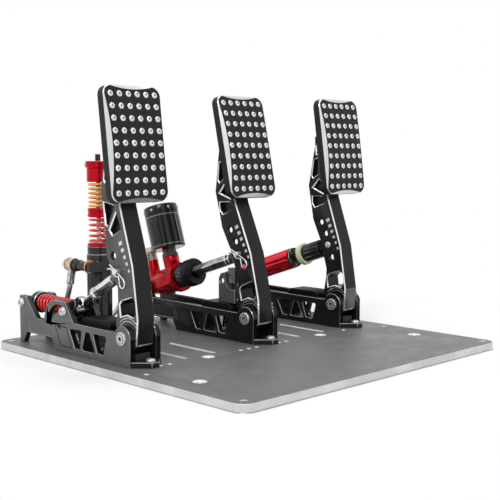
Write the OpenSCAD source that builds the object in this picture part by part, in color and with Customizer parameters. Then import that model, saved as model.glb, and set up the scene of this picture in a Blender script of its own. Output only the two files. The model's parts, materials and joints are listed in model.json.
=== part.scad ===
// Three sim racing pedals on one flat plate: clutch, brake and throttle.
// Origin at the middle of the underside of the plate. X to the right, Y away
// from the driver, Z up. A pedal's own frame has its origin on the plate's top
// under the pivot, with y toward the rear.

/* [Base plate] */
// Width of the plate, side to side
plate_w = 400; // [380:10:480]
// Depth of the plate, front to rear
plate_d = 400; // [400:10:480]
// Thickness of the plate
plate_t = 8; // [5:1:12]
// Radius of the plate's corners
plate_corner_r = 14; // [5:1:25]
// Distance of the corner holes from the plate's edges
corner_hole_inset = 12; // [10:1:16]
// Diameter of the corner holes
corner_hole_d = 6; // [4:0.5:8]
// Diameter of the countersunk fixing holes
rig_hole_d = 9; // [6:0.5:10]
// Diameter of the countersinks
rig_sink_d = 14; // [12:0.5:18]
// Diameter of the small adjusting holes
small_hole_d = 4.5; // [3:0.5:6]
// Width of the plate's long slots
slot_w = 5; // [3:0.5:7]

/* [Pedal places] */
// Clutch, distance of its middle left of the plate's middle
clutch_x = 161.5; // [158:0.5:166]
// Brake, distance of its middle right of the plate's middle
brake_x = 8.5; // [0:0.5:20]
// Throttle, distance of its middle right of the plate's middle
throttle_x = 156.5; // [150:0.5:166]
// Distance of the pivots in front of the plate's middle
pivot_set = 9; // [6:1:14]

/* [Pedal base] */
// Thickness of the side plates
side_t = 6.5; // [5:0.5:8]
// Clear width between the side plates
inner_w = 26; // [25.5:0.5:28]
// Height of the pivot over the plate
pivot_h = 28; // [26:1:32]
// Diameter of the pivot axle
axle_d = 10; // [8:1:12]
// Reach of the side plates in front of the pivot
base_front = 12.5; // [12:0.5:16]
// Reach of the side plates behind the pivot
base_rear = 189; // [186:1:192]
// Height of the side plates' long beam
beam_h = 33; // [31:1:35]
// Thickness of the foot plate
foot_t = 6; // [5:0.5:6.5]
// Reach of the foot's nose in front of the side plates
nose_l = 15.8; // [14:0.2:20]
// Distance of the rear bolt behind the pivot
rear_bolt_y = 184.5; // [183:0.5:185]
// Height of the rear bolt over the plate
rear_bolt_z = 44.5; // [43.5:0.5:46]
// Diameter of the rear bolt, the spring bolt and the rocker dowel
bolt_d = 6; // [5:0.5:6.5]
// Height of the cross brace's top over the plate
brace_h = 40; // [37:0.5:42]

/* [Pedal arms] */
// Width of the arms
arm_w = 22; // [20:0.5:23]
// Width of the channel in the arms
channel_w = 13; // [12.6:0.2:15]
// Diameter of the arm pins
pin_d = 6; // [5:0.5:7]
// Diameter of the arms' adjusting holes
arm_hole_d = 6.5; // [5:0.5:7.5]
// Lean of the brake arm at rest
brake_lean = 5.5; // [4:0.5:7]
// Lean of the throttle arm at rest
throttle_lean = 1.2; // [0:0.2:3]

/* [Pads] */
// Width of the pads
pad_w = 70; // [60:1:80]
// Height of the pads
pad_h = 115; // [105:1:120]
// Depth of the pads at their rim
pad_t = 9.5; // [8:0.5:11]
// Corner radius of the pads
pad_corner_r = 10; // [6:1:14]
// Radius of the pads' crown from top to bottom
pad_crown_r = 390; // [300:10:600]
// Lean of the pads against the arms
pad_lean = 7; // [5:0.5:8]
// Studs across a pad
studs_across = 6; // [4:1:6]
// Studs up a pad
studs_up = 9; // [6:1:9]
// Pitch of the studs across
stud_pitch_x = 10.8; // [9:0.2:11]
// Pitch of the studs up the pad
stud_pitch_z = 12.1; // [9:0.1:12.2]
// Diameter of the studs
stud_d = 6.3; // [4:0.1:7]
// Height of the studs over the pad
stud_h = 1.2; // [0.8:0.1:2]

/* [Clutch spring link] */
// Distance of the rocker's dowel behind the pivot
rocker_y = 111.5; // [110:0.5:113]
// Height of the rocker's dowel over the plate
rocker_z = 26.5; // [25.5:0.5:27]
// Distance of the spring bolt from the rocker's dowel
spring_bolt_r = 19.7; // [19.4:0.1:20]
// Thickness of the rocker's cheeks
cheek_t = 2.3; // [2:0.1:2.5]
// Outer diameter of the clutch spring
spring_d = 19.4; // [18.4:0.2:19.6]
// Wire diameter of the clutch spring
spring_wire = 2.8; // [2.2:0.1:3]
// Turns of the clutch spring
spring_turns = 9; // [7:1:10]
// Width across the flats of the link's hexagon
link_hex = 11; // [9:0.5:12]

/* [Brake cylinder] */
// Width across the flats of the master cylinder
master_w = 30; // [28:1:32]
// Diameter of the master cylinder's flange
flange_d = 36; // [33:1:38]
// Diameter of the pressure disc
disc_d = 33; // [30:1:36]
// Thickness of the pressure disc
disc_t = 13; // [10:0.5:14]
// Bore of the master cylinder
master_bore = 18; // [15.5:0.5:20]
// Width across the flats of the push rod
rod_hex = 12; // [10:0.5:12.5]
// Diameter of the fluid reservoir
reservoir_d = 42; // [36:1:46]
// Height of the fluid reservoir with its cap
reservoir_h = 54; // [44:1:60]
// Height of the reservoir's cap
reservoir_cap_h = 10; // [8:1:14]

/* [Slave column] */
// Distance of the column left of the plate's middle
slave_x = 115; // [114:0.5:116]
// Distance of the column behind the plate's middle
slave_y = 119; // [116:0.5:122]
// Diameter of the column's body
slave_d = 28; // [26:0.5:28]
// Height of the column's body
slave_h = 98; // [96:0.5:102]
// Height of the gland on the column
gland_h = 13; // [10:0.5:15]
// Diameter of the column's rod
slave_rod_d = 5; // [4:0.5:6]
// Length of the red spring
red_spring_l = 29; // [26:0.5:32]
// Outer diameter of the red spring
red_spring_d = 23; // [21:0.5:24]
// Wire diameter of the red spring
red_spring_wire = 2.8; // [2.2:0.1:3]
// Turns of the red spring
red_spring_turns = 4; // [3:0.5:5]
// Length of the gold spring
gold_spring_l = 29; // [27:0.5:32]
// Outer diameter of the gold spring
gold_spring_d = 23; // [21:0.5:24]
// Wire diameter of the gold spring
gold_spring_wire = 2.8; // [2.2:0.1:3]
// Turns of the gold spring
gold_spring_turns = 5; // [4:0.5:5.5]
// Height of the collar between the springs
collar_h = 10; // [8:0.5:12]
// Height of the column's cap
slave_cap_h = 23.5; // [20:0.5:26]
// Diameter of the column's collar and cap
slave_cap_d = 25; // [24:0.5:26]
// Diameter of the clamp ring on the column's cap
clamp_d = 28; // [27:0.5:30]

/* [Throttle damper] */
// Outer diameter of the damper tube
tube_d = 26.4; // [24:0.2:27]
// Bore of the damper tube
tube_bore = 20; // [17:0.5:21]
// Diameter of the damper rod
damper_rod_d = 8; // [7:0.5:9]
// Diameter of the bumper ring
bumper_d = 27.5; // [20:0.5:29]
// Thickness of the bumper ring
bumper_t = 7; // [4:0.5:7.5]
// Diameter of the adjuster knob
knob_d = 22.5; // [20:0.5:25]
// Length of the adjuster knob
knob_l = 28; // [24:0.5:30]

/* [Hidden] */
$fn = 48;

// Fits
run_fit = 0.05;
seat_gap = 0.3;
open_pivot_play = 1.6;
slip_play = 0.6;
eps = 0.01;

// Pedal places in the plate's frame
pedal_x = [-clutch_x, brake_x, throttle_x];
pivot_y = -pivot_set;
side_x = inner_w / 2;
side_out = side_x + side_t;

// Colours
black = "#1c1c1e";
steel = "#c9ccd0";
grey = "#77797c";
red = "#c4122a";
gold = "#e2962c";
cream = "#e6e7b4";

// Points of a corner rounded with radius r, from a through b to c
function fillet(a, b, c, r, n) =
    let(u = (a - b) / norm(a - b), v = (c - b) / norm(c - b))
    let(half = acos(max(-1, min(1, u * v))) / 2)
    let(t = min(r / tan(half), norm(a - b) / 2, norm(c - b) / 2))
    let(p = b + u * t, q = b + v * t)
    [for (i = [0:n]) let(k = i / n) p * (1 - k) * (1 - k) + b * 2 * k * (1 - k) + q * k * k];
function rounded(pts, r, n = 4) =
    let(m = len(pts))
    [for (i = [0:m - 1]) each fillet(pts[(i + m - 1) % m], pts[i], pts[(i + 1) % m], r, n)];
function arc(c, r, a0, a1, n = 12) =
    [for (i = [0:n]) let(a = a0 + (a1 - a0) * i / n) c + r * [cos(a), sin(a)]];
// A point of the y z plane turned toward the rear by an angle
function lean_by(p, a) = [p.x * cos(a) + p.y * sin(a), p.y * cos(a) - p.x * sin(a)];

// A tube swept along points: each ring stands square to the mean of its two neighbours
function unit(v) = v / norm(v);
function tangent(p, i) = unit(p[min(i + 1, len(p) - 1)] - p[max(i - 1, 0)]);
function side_of(t, ref) = unit(cross(ref, t));
module sweep(p, r, sides, ref) {
    rings = [for (i = [0:len(p) - 1])
        let(t = tangent(p, i), s = side_of(t, ref), u = cross(t, s))
        for (k = [0:sides - 1]) p[i] + r * (cos(360 * k / sides) * s + sin(360 * k / sides) * u)];
    last = (len(p) - 1) * sides;
    walls = [for (i = [0:len(p) - 2], k = [0:sides - 1])
        let(a = i * sides + k, b = i * sides + (k + 1) % sides)
        each [[a, a + sides, b], [b, a + sides, b + sides]]];
    caps = [for (k = [1:sides - 2]) each [[0, k, k + 1], [last, last + k + 1, last + k]]];
    polyhedron(rings, concat(walls, caps));
}

// A compression spring along +Z from 0 to l, with straight ends one wire long
function coil_r(d, wire) = (d - wire) / 2;
function coil_at(d, wire, z, a) = [coil_r(d, wire) * cos(a), coil_r(d, wire) * sin(a), z];
function coil_points(d, wire, l, turns) =
    let(rings = round(turns * 8), foot = wire * 1.35)
    concat(
        [coil_at(d, wire, 0, 0), coil_at(d, wire, wire, 0)],
        [for (i = [1:rings - 1]) coil_at(d, wire, foot + (l - 2 * foot) * i / rings, 360 * turns * i / rings)],
        [coil_at(d, wire, l - wire, 360 * turns), coil_at(d, wire, l, 360 * turns)]
    );
function coil_gap(p, wire) =
    min([for (i = [0:len(p) - 1], j = [i + 5:1:min(i + 11, len(p) - 1)]) norm(p[i] - p[j])]) - wire;
module coil(d, wire, l, turns) {
    sweep(coil_points(d, wire, l, turns), wire / 2, 6, [0, 0.0001, 1]);
}

// Least gaps of each spring to itself, in mm
echo("least gap of the clutch spring", coil_gap(coil_points(spring_d, spring_wire, spring_l, spring_turns), spring_wire));
echo("least gap of the red spring",
    coil_gap(coil_points(red_spring_d, red_spring_wire, red_spring_l, red_spring_turns), red_spring_wire));
echo("least gap of the gold spring",
    coil_gap(coil_points(gold_spring_d, gold_spring_wire, gold_spring_l, gold_spring_turns), gold_spring_wire));

// Places and shared shapes
module at_pedal(i) { translate([pedal_x[i], pivot_y, plate_t]) children(); }
module at_pivot(i, lean) { at_pedal(i) translate([0, 0, pivot_h]) rotate([-lean, 0, 0]) children(); }
// A side view of y and z given a width w along X from x0
module side_view(x0, w) { translate([x0, 0, 0]) rotate([90, 0, 90]) linear_extrude(w) children(); }
module x_rod(p, d, x0, x1) { translate([x0, p.x, p.y]) rotate([0, 90, 0]) cylinder(h = x1 - x0, d = d); }
module hex_x(p, flats, x0, x1) {
    translate([x0, p.x, p.y]) rotate([0, 90, 0]) cylinder(h = x1 - x0, d = flats / cos(30), $fn = 6);
}
module rounded_square(w, h, r) {
    square([w - 2 * r, h], center = true);
    square([w, h - 2 * r], center = true);
    for (sx = [-1, 1], sy = [-1, 1]) translate([sx * (w / 2 - r), sy * (h / 2 - r)]) circle(r);
}

// Base plate
rig_front = [plate_w / 2 - 32, 109];
rig_rear = [88, 33];
row_y = pivot_y - base_front - 11;
small_row = [
    -clutch_x + 11.5, -clutch_x + 22.5, brake_x - 49, brake_x - 37, brake_x - 25, brake_x + 11.5,
    brake_x + 22.5, throttle_x - 25
];
small_front = [plate_w / 2 - 15, 52];
slots = [[-70, 68], [-110, 39], [105, 66], [62, 28]];
slot_front_y = -20;
corner_hole_x = plate_w / 2 - corner_hole_inset;
corner_hole_y = plate_d / 2 - corner_hole_inset;
module base_plate() {
    color(grey) difference() {
        linear_extrude(plate_t) rounded_square(plate_w, plate_d, plate_corner_r);
        for (sx = [-1, 1], sy = [-1, 1])
            translate([sx * corner_hole_x, sy * corner_hole_y, -1]) cylinder(h = plate_t + 2, d = corner_hole_d);
        for (sx = [-1, 1], p = [rig_front, rig_rear]) translate([sx * p.x, -p.y, 0]) {
            translate([0, 0, -1]) cylinder(h = plate_t + 2, d = rig_hole_d);
            translate([0, 0, plate_t - 2]) cylinder(h = 2 + eps, d1 = rig_hole_d, d2 = rig_sink_d);
        }
        for (x = small_row) translate([x, row_y, -1]) cylinder(h = plate_t + 2, d = small_hole_d);
        for (sx = [-1, 1])
            translate([sx * small_front.x, -small_front.y, -1]) cylinder(h = plate_t + 2, d = small_hole_d);
        for (s = slots) translate([s.x, slot_front_y, -1]) linear_extrude(plate_t + 2) {
            translate([-slot_w / 2, 0]) square([slot_w, s.y]);
            circle(d = slot_w);
            translate([0, s.y]) circle(d = slot_w);
        }
    }
}

// Side plates: a long beam with a boss round the pivot, three slanted windows, an
// arched foot and an upright for the rear bolt; the clutch adds a hoop with a slot
boss_r = 13;
pivot = [0, pivot_h];
rear_bolt = [rear_bolt_y, rear_bolt_z];
rocker = [rocker_y, rocker_z];
upright_h = rear_bolt_z + 8;
beam_start = 16;
arch_front = 118.5;
arch_rear = base_rear - 8;
arch_h = 12;
window_low = 6.5;
window_high = pivot_h - 2;
slot_half = 3.6;
slot_inner = spring_bolt_r - 5;
spring_bolt_rest = 120.5;
spring_bolt_at = rocker + spring_bolt_r * [cos(spring_bolt_rest), sin(spring_bolt_rest)];
hoop_top = rocker_z + spring_bolt_r + slot_half + 4;
valley_y = 150;
function beam_points(hoop) = concat(
    [[base_rear, 0], [arch_rear + 1, 0], [arch_rear - 6, arch_h], [arch_front + 7, arch_h]],
    [[arch_front, 0], [-base_front, 0], [-base_front, pivot_h]],
    arc(pivot, boss_r, 180, 23, 10),
    [[beam_start, beam_h]],
    hoop
        ? [[84.3, beam_h], [99, hoop_top], [123, hoop_top], [134, hoop_top - 6], [141, beam_h - 3]]
        : [[120, beam_h + 1.5]],
    [[valley_y + (hoop ? 5 : 14), beam_h - (hoop ? 3 : -2)], [rear_bolt_y - 8.5, upright_h], [base_rear, upright_h]]
);
module window(points) { polygon(rounded(points, 2.4)); }
module side_outline(hoop) {
    difference() {
        polygon(beam_points(hoop));
        window([[92.4, window_high], [69.6, window_high + 1], [73, window_low], [82, window_low]]);
        window([[63, window_high + 0.5], [55.2, window_high], [46, window_low], [69.5, window_low]]);
        window([[49.3, window_high + 0.5], [26.4, window_high], [32, window_low], [42.5, window_low + 1]]);
        if (hoop) {
            translate(spring_bolt_at) circle(slot_half);
            polygon(concat(
                arc(rocker, spring_bolt_r + slot_half, spring_bolt_rest, 2),
                arc(rocker, slot_inner, 2, spring_bolt_rest)
            ));
        }
    }
}
panel_y = [124, 169];
panel_z = [14, beam_h - 6];
panel_deep = 0.6;
module side_plate(hoop, left) {
    mirror([left ? 1 : 0, 0, 0]) difference() {
        side_view(side_x, side_t) side_outline(hoop);
        x_rod(pivot, axle_d, side_x - 1, side_out + 1);
        x_rod(rear_bolt, bolt_d, side_x - 1, side_out + 1);
        if (hoop) x_rod(rocker, bolt_d, side_x - 1, side_out + 1);
        side_view(side_out - panel_deep, 1)
            translate([panel_y[0], panel_z[0]]) square([panel_y[1] - panel_y[0], panel_z[1] - panel_z[0]]);
    }
}
module clutch_left_plate() { color(black) at_pedal(0) side_plate(true, true); }
module clutch_right_plate() { color(black) at_pedal(0) side_plate(true, false); }
module brake_left_plate() { color(black) at_pedal(1) side_plate(false, true); }
module brake_right_plate() { color(black) at_pedal(1) side_plate(false, false); }
module throttle_left_plate() { color(black) at_pedal(2) side_plate(false, true); }
module throttle_right_plate() { color(black) at_pedal(2) side_plate(false, false); }

// Foot plates: a pointed nose in front and a strip between the side plates
nose_tip = 4.6;
foot_rear = 112;
foot_screw_d = 5;
foot_head_d = 9.5;
foot_head_h = 2.7;
foot_screw_y = [-base_front - 8, 60, 104];
module foot() {
    difference() {
        linear_extrude(foot_t) polygon([
            [-side_out, -base_front], [-nose_tip, -base_front - nose_l], [nose_tip, -base_front - nose_l],
            [side_out, -base_front], [side_x, -base_front], [side_x, foot_rear],
            [-side_x, foot_rear], [-side_x, -base_front]
        ]);
        for (y = foot_screw_y) translate([0, y, -1]) cylinder(h = foot_t + 2, d = foot_screw_d);
    }
}
module feet() { color(black) for (i = [0:2]) at_pedal(i) foot(); }
module foot_screws() {
    color(steel) for (i = [0:2], y = foot_screw_y) at_pedal(i) translate([0, y, 0]) {
        cylinder(h = foot_t, d = foot_screw_d);
        translate([0, 0, foot_t]) cylinder(h = foot_head_h, d1 = foot_head_d, d2 = foot_head_d - 3);
    }
}

// Cross braces between the side plates, over the windows
brace_y = [30, 80];
brace_low = beam_h - 4;
module frame_braces() {
    color(black) for (i = [0:2]) at_pedal(i) side_view(-side_x, inner_w) polygon([
        [brace_y[0], brace_low], [brace_y[0], brace_h - 3], [brace_y[0] + 5, brace_h],
        [brace_y[1] - 5, brace_h], [brace_y[1], brace_h - 3], [brace_y[1], brace_low]
    ]);
}

// Axles, screws and bolts
screw_head_d = 14;
screw_head_h = 3.4;
bolt_head_d = 11.2;
bolt_head_h = 3.2;
module button_head(p, d, h, left) {
    translate([left ? -side_out : side_out, p.x, p.y]) rotate([0, left ? -90 : 90, 0]) difference() {
        cylinder(h = h, d1 = d, d2 = d * 0.7);
        translate([0, 0, h * 0.4]) cylinder(h = h, d = d * 0.32, $fn = 6);
    }
}
module pivot_axles() { color(steel) for (i = [0:2]) at_pedal(i) x_rod(pivot, axle_d, -side_out, side_out); }
module pivot_screws() {
    color(steel) for (i = [0:2], left = [true, false]) at_pedal(i)
        button_head(pivot, screw_head_d, screw_head_h, left);
}
module through_bolt(p) {
    x_rod(p, bolt_d, -side_out, side_out);
    button_head(p, bolt_head_d, bolt_head_h, true);
    button_head(p, bolt_head_d, bolt_head_h, false);
}
module cross_bolts() {
    color(steel) {
        for (i = [0:2]) at_pedal(i) through_bolt(rear_bolt);
        at_pedal(0) x_rod(rocker, bolt_d, -side_out, side_out);
    }
}

// Brake position sensor on its bracket, and the sensors under the other two arms
bracket_t = 4;
bracket_x = -9;
notch = [31, 70];
notch_r = 14;
sensor_front = 30.5;
sensor_rear = 42;
sensor_low = 63;
sensor_top = 80;
module sensor_bracket() {
    color(grey) at_pedal(1) {
        side_view(bracket_x, bracket_t) difference() {
            polygon([[28, brace_h], [55, brace_h], [55, 67], [52, 73], [46, 75], [28, 75]]);
            translate(notch) circle(notch_r);
            translate([49.5, 65]) circle(d = 6.5);
        }
        translate([bracket_x, sensor_front, brace_h]) cube([-2 * bracket_x, 25, 3]);
    }
}
module sensors() {
    color(black) {
        at_pedal(1) translate([-6, sensor_front, sensor_low]) cube([11, sensor_rear - sensor_front, sensor_top - sensor_low]);
        at_pedal(1) side_view(bracket_x, 6) polygon(concat(
            arc(notch, notch_r, -78, 18),
            arc(notch, notch_r - 4.5, 18, -78)
        ));
        for (i = [0, 2]) at_pedal(i) translate([-9, -8, foot_t]) cube([18, 16, 6]);
    }
}

// Arms: a side profile with a channel open to the rear, cut-outs and adjusting holes
hub_r = 14;
hub_w = inner_w - 2 * seat_gap;
arm_pin = [12, 71.7];
clutch_pin_at = [16.5, 65];
pad_at = [-2.2, 191.6];
pad_up = [sin(pad_lean), cos(pad_lean)];
pad_back = [cos(pad_lean), -sin(pad_lean)];
pad_rim = pad_h * pad_h / 8 / pad_crown_r - 3;
function on_pad_back(s) = pad_at + pad_back * (pad_t + pad_rim) + pad_up * s;
front_edge = [[-11.8, -7.5], [-14, 19], [-6.5, 72], [12.5, 130], [14.5, 145]];
top_edge = [on_pad_back(-38), on_pad_back(36), [25, 226], [30.6, 211], [33.5, 193], [36.8, 180]];
rear_upper = [[42.8, 152], [44.8, 144.4], [42.5, 131], [40, 117]];
rear_lower = [[37.8, 102.6], [26.5, 77.5], [16.8, 42], [17.5, 32], [22, 10]];
rear_lower_clutch = [[37.5, 103], [36.5, 79], [18.4, 47.8], [18, 31.8], [22.5, 7.8]];
cut_deep = 5.5;
low_window = [[15, 31.7], [11, 35.5], [-4.8, 40], [-9.2, 37], [-10.3, 25], [-6.9, 20.8], [3, 22.7], [13.3, 19.8]];
mid_cut = [[37.9, 131], [21.6, 130.4], [18.3, 125.7], [20.4, 122.8], [34.3, 117.9], [37.6, 122.6]];
side_cut = [[37.2, 142], [27, 152], [20.5, 144], [20.5, 135]];
upper_cut = [[34.9, 176], [28.7, 177.4], [27.6, 159.5], [36.4, 154], [38.3, 157]];
top_cut = [[31, 196], [30.5, 183], [26, 183]];
clutch_cut_a = [[39.5, 133], [22.4, 130], [33.2, 109.8], [36.4, 111]];
clutch_cut_b = [[19.4, 123], [11.8, 107.5], [25.4, 100.6], [30.1, 105.6]];
module arm(clutch) {
    difference() {
        union() {
            side_view(-arm_w / 2, arm_w) {
                polygon(concat(front_edge, top_edge, rear_upper, clutch ? rear_lower_clutch : rear_lower));
                polygon(concat(arc([0, 0], hub_r, -110, 90, 24), [front_edge[1], front_edge[0]]));
            }
            x_rod([0, 0], 20, -hub_w / 2, hub_w / 2);
        }
        x_rod([0, 0], axle_d + 2 * run_fit, -side_x, side_x);
        side_view(-arm_w, 2 * arm_w) polygon(low_window);
        side_view(-channel_w / 2, channel_w) polygon([
            [-4, 50], [-1, 72], clutch ? [4, 91] : [9.5, 105], [60, clutch ? 91 : 105], [60, 50]
        ]);
        x_rod(clutch ? clutch_pin_at : arm_pin, pin_d, -arm_w, arm_w);
        for (p = clutch ? [[24.2, 80]] : [[24.3, 99.2], [17, 85.5], [7.4, 56.8]])
            x_rod(p, arm_hole_d, -arm_w, arm_w);
        for (sx = [-1, 1]) side_view(sx * arm_w / 2 - (sx > 0 ? cut_deep : 1), cut_deep + 1) {
            if (clutch) {
                polygon(clutch_cut_a);
                polygon(clutch_cut_b);
            } else {
                polygon(mid_cut);
                polygon(side_cut);
            }
            polygon(upper_cut);
            polygon(top_cut);
        }
    }
}
module clutch_arm() { color(black) at_pivot(0, 0) arm(true); }
module brake_arm() { color(black) at_pivot(1, brake_lean) arm(false); }
module throttle_arm() { color(black) at_pivot(2, throttle_lean) arm(false); }

// Pads: a crowned block with rows of studs. The pad's own frame has x across, y
// toward the driver and z up, with its origin at the middle of the front
module at_pad(i, lean) {
    at_pivot(i, lean) translate([0, pad_at.x, pad_at.y]) rotate([-pad_lean, 0, 0]) children();
}
module pad() {
    intersection() {
        rotate([90, 0, 0]) translate([0, 0, -pad_t - pad_rim]) linear_extrude(pad_t + pad_rim + 4)
            rounded_square(pad_w, pad_h, pad_corner_r);
        translate([-pad_w, pad_crown_r - 3, 0]) rotate([0, 90, 0]) cylinder(h = 2 * pad_w, r = pad_crown_r, $fn = 360);
    }
}
function crown_angle(z) = asin(z / pad_crown_r);
module pad_studs() {
    for (i = [0:studs_across - 1], k = [0:studs_up - 1]) {
        x = (i - (studs_across - 1) / 2) * stud_pitch_x;
        z = (k - (studs_up - 1) / 2) * stud_pitch_z;
        translate([x, pad_crown_r - 3, 0]) rotate([90 - crown_angle(z), 0, 0])
            translate([0, 0, pad_crown_r + 0.02]) cylinder(h = stud_h, d = stud_d, $fn = 24);
    }
}
module clutch_pad() { color(black) at_pad(0, 0) pad(); }
module brake_pad() { color(black) at_pad(1, brake_lean) pad(); }
module throttle_pad() { color(black) at_pad(2, throttle_lean) pad(); }
module clutch_pad_studs() { color(steel) at_pad(0, 0) pad_studs(); }
module brake_pad_studs() { color(steel) at_pad(1, brake_lean) pad_studs(); }
module throttle_pad_studs() { color(steel) at_pad(2, throttle_lean) pad_studs(); }

// Arm pins with their spring clips
pin_left = arm_w / 2 + 5;
clip_wire = 1.6;
clip_x = arm_w / 2 + 2.6;
module arm_pin_rod(p, left) {
    difference() {
        union() {
            x_rod(p, pin_d, -left, arm_w / 2);
            x_rod(p, pin_d + 3, arm_w / 2, arm_w / 2 + 2);
        }
        if (left > arm_w / 2 + 3) translate([-clip_x, p.x, p.y]) rotate([clip_turn + 90, 0, 0])
            cylinder(h = 2 * pin_d, d = clip_wire + 0.2, center = true);
    }
}
// The clip's wire: a straight leg through the pin, a loop and a waved leg round it
clip_turn = 30;
clip_route = [
    [-12, 0], [0, 0], [11, 0], [14.5, 0.6], [17.6, 2.6], [18.6, 6], [16.4, 9], [12.8, 9], [10.2, 6.4],
    [8, 3.6], [6, 2.6], [4.2, 3.1], [2.4, 4.4], [0, 4.9], [-2.4, 4.4], [-4.2, 3], [-6, 2.3], [-8.2, 2.6],
    [-10.5, 3.9], [-12.5, 5.7]
];
module clip(p) {
    translate([-clip_x, p.x, p.y]) rotate([clip_turn, 0, 0])
        sweep([for (q = clip_route) [0, -q.x, -q.y]], clip_wire / 2, 6, [1, 0, 0]);
}
module clutch_pin() { color(steel) at_pivot(0, 0) arm_pin_rod(clutch_pin_at, pin_left); }
module brake_pin() { color(steel) at_pivot(1, brake_lean) arm_pin_rod(arm_pin, pin_left); }
module throttle_pin() {
    color(steel) at_pivot(2, throttle_lean) {
        arm_pin_rod(arm_pin, arm_w / 2);
        x_rod(arm_pin, pin_d + 2, -arm_w / 2 - 2, -arm_w / 2);
    }
}
module clutch_clip() { color(steel) at_pivot(0, 0) clip(clutch_pin_at); }
module brake_clip() { color(steel) at_pivot(1, brake_lean) clip(arm_pin); }

// A rod's own frame has z along the rod and x along the pedal's x, so a point at
// distance s from the start lies at z = s
module along(p, q) {
    translate([0, p.x, p.y]) rotate([-90 + atan2(q.y - p.y, q.x - p.x), 0, 0]) children();
}
fork_w = channel_w - 1;
fork_slot = 6;
fork_r = 6.5;
module fork(shank, bore) {
    difference() {
        union() {
            rotate([0, 90, 0]) cylinder(h = fork_w, r = fork_r, center = true);
            translate([-fork_w / 2, -fork_r, 0]) cube([fork_w, 2 * fork_r, shank - 6]);
            cylinder(h = shank, d = 2 * fork_r - 2);
        }
        translate([-fork_slot / 2, -2 * fork_r, -2 * fork_r]) cube([fork_slot, 4 * fork_r, 2 * fork_r + 14]);
        rotate([0, 90, 0]) cylinder(h = 2 * fork_w, d = bore, center = true);
    }
}

// Clutch link from the arm pin down to the rocker
link_top = pivot + clutch_pin_at;
link_low = [94, 52];
link_l = norm(link_low - link_top);
rocker_pin_d = 4;
eye_w = 8;
eye_d = rocker_pin_d + 2 * open_pivot_play + 3.8;
link_fork_l = 23;
link_hex_l = 35;
nut_t = 6;
module clutch_link() {
    color(steel) at_pedal(0) along(link_top, link_low) {
        fork(link_fork_l, pin_d + 2 * run_fit);
        translate([0, 0, link_fork_l]) cylinder(h = link_hex_l, d = link_hex / cos(30), $fn = 6);
        difference() {
            union() {
                translate([0, 0, link_fork_l]) cylinder(h = link_l - link_fork_l - eye_d / 2 + 1, d = 5);
                translate([0, 0, link_l]) rotate([0, 90, 0]) cylinder(h = eye_w, d = eye_d, center = true);
            }
            translate([0, 0, link_l]) rotate([0, 90, 0])
                cylinder(h = 2 * eye_w, d = rocker_pin_d + 2 * open_pivot_play, center = true);
        }
    }
}
module link_nut() {
    color(steel) at_pedal(0) along(link_top, link_low) translate([0, 0, link_fork_l + link_hex_l]) difference() {
        cylinder(h = nut_t, d = (link_hex + 1) / cos(30), $fn = 6);
        translate([0, 0, -1]) cylinder(h = nut_t + 2, d = 5);
    }
}

// Rocker: two cheeks on a hub over the dowel, with the link's pin and the spring bolt
cheek_out = side_x - seat_gap;
cheek_in = cheek_out - cheek_t;
cheek_hub_d = 12;
cheek_nose_d = 9;
module cheek() {
    hull() {
        translate(rocker) circle(d = cheek_hub_d, $fn = 32);
        translate(spring_bolt_at) circle(d = cheek_hub_d - 1, $fn = 32);
    }
    hull() {
        translate(spring_bolt_at) circle(d = cheek_hub_d - 1, $fn = 32);
        translate(link_low) circle(d = cheek_nose_d, $fn = 32);
    }
}
module clutch_rocker() {
    color(black) at_pedal(0) {
        difference() {
            union() {
                side_view(-cheek_out, cheek_t) cheek();
                side_view(cheek_in, cheek_t) cheek();
                x_rod(rocker, cheek_hub_d, -cheek_out, cheek_out);
            }
            x_rod(rocker, bolt_d + 2 * run_fit, -side_x, side_x);
            x_rod(spring_bolt_at, bolt_d, -side_x, side_x);
        }
        x_rod(link_low, rocker_pin_d, -cheek_in, cheek_in);
    }
}
slot_play = 0.4;
module spring_bolt() {
    color(steel) at_pedal(0) {
        x_rod(spring_bolt_at, bolt_d, -side_out - slot_play, side_out + slot_play);
        translate([-slot_play, 0, 0]) button_head(spring_bolt_at, bolt_head_d, bolt_head_h, true);
        translate([slot_play, 0, 0]) button_head(spring_bolt_at, bolt_head_d, bolt_head_h, false);
    }
}

// Clutch spring between its front seat on the spring bolt and its rear seat
spring_z = (spring_bolt_at.y + rear_bolt_z) / 2;
seat_ear_w = 4;
seat_ear_x = cheek_in - seat_gap - seat_ear_w;
seat_disc_t = 3;
seat_disc_y = spring_bolt_at.x + 6.5;
spring_front = seat_disc_y + seat_disc_t;
spring_rear = rear_bolt_y - 13;
guide_d = spring_d - 2 * spring_wire - 2.4;
module y_rod(y0, y1, z, d) { translate([0, y0, z]) rotate([-90, 0, 0]) cylinder(h = y1 - y0, d = d); }
module spring_front_seat() {
    color(black) at_pedal(0) difference() {
        union() {
            for (x = [-seat_ear_x - seat_ear_w, seat_ear_x]) translate([x, 0, 0]) {
                x_rod(spring_bolt_at, 11, 0, seat_ear_w);
                translate([0, spring_bolt_at.x, spring_bolt_at.y - 5.5])
                    cube([seat_ear_w, seat_disc_y - spring_bolt_at.x + 1, 11]);
            }
            y_rod(seat_disc_y, spring_front, spring_z, spring_d);
            y_rod(spring_front, spring_front + 14, spring_z, guide_d);
        }
        x_rod(spring_bolt_at, bolt_d + 2 * run_fit, -side_x, side_x);
    }
}
module spring_rear_seat() {
    color(black) at_pedal(0) difference() {
        union() {
            y_rod(spring_rear, rear_bolt_y - 4, spring_z, inner_w - 2);
            x_rod(rear_bolt, 13, -side_x + seat_gap, side_x - seat_gap);
            y_rod(spring_rear - 16, spring_rear, spring_z, guide_d);
        }
        x_rod(rear_bolt, bolt_d, -side_x, side_x);
    }
}
spring_l = spring_rear - spring_front;
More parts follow.
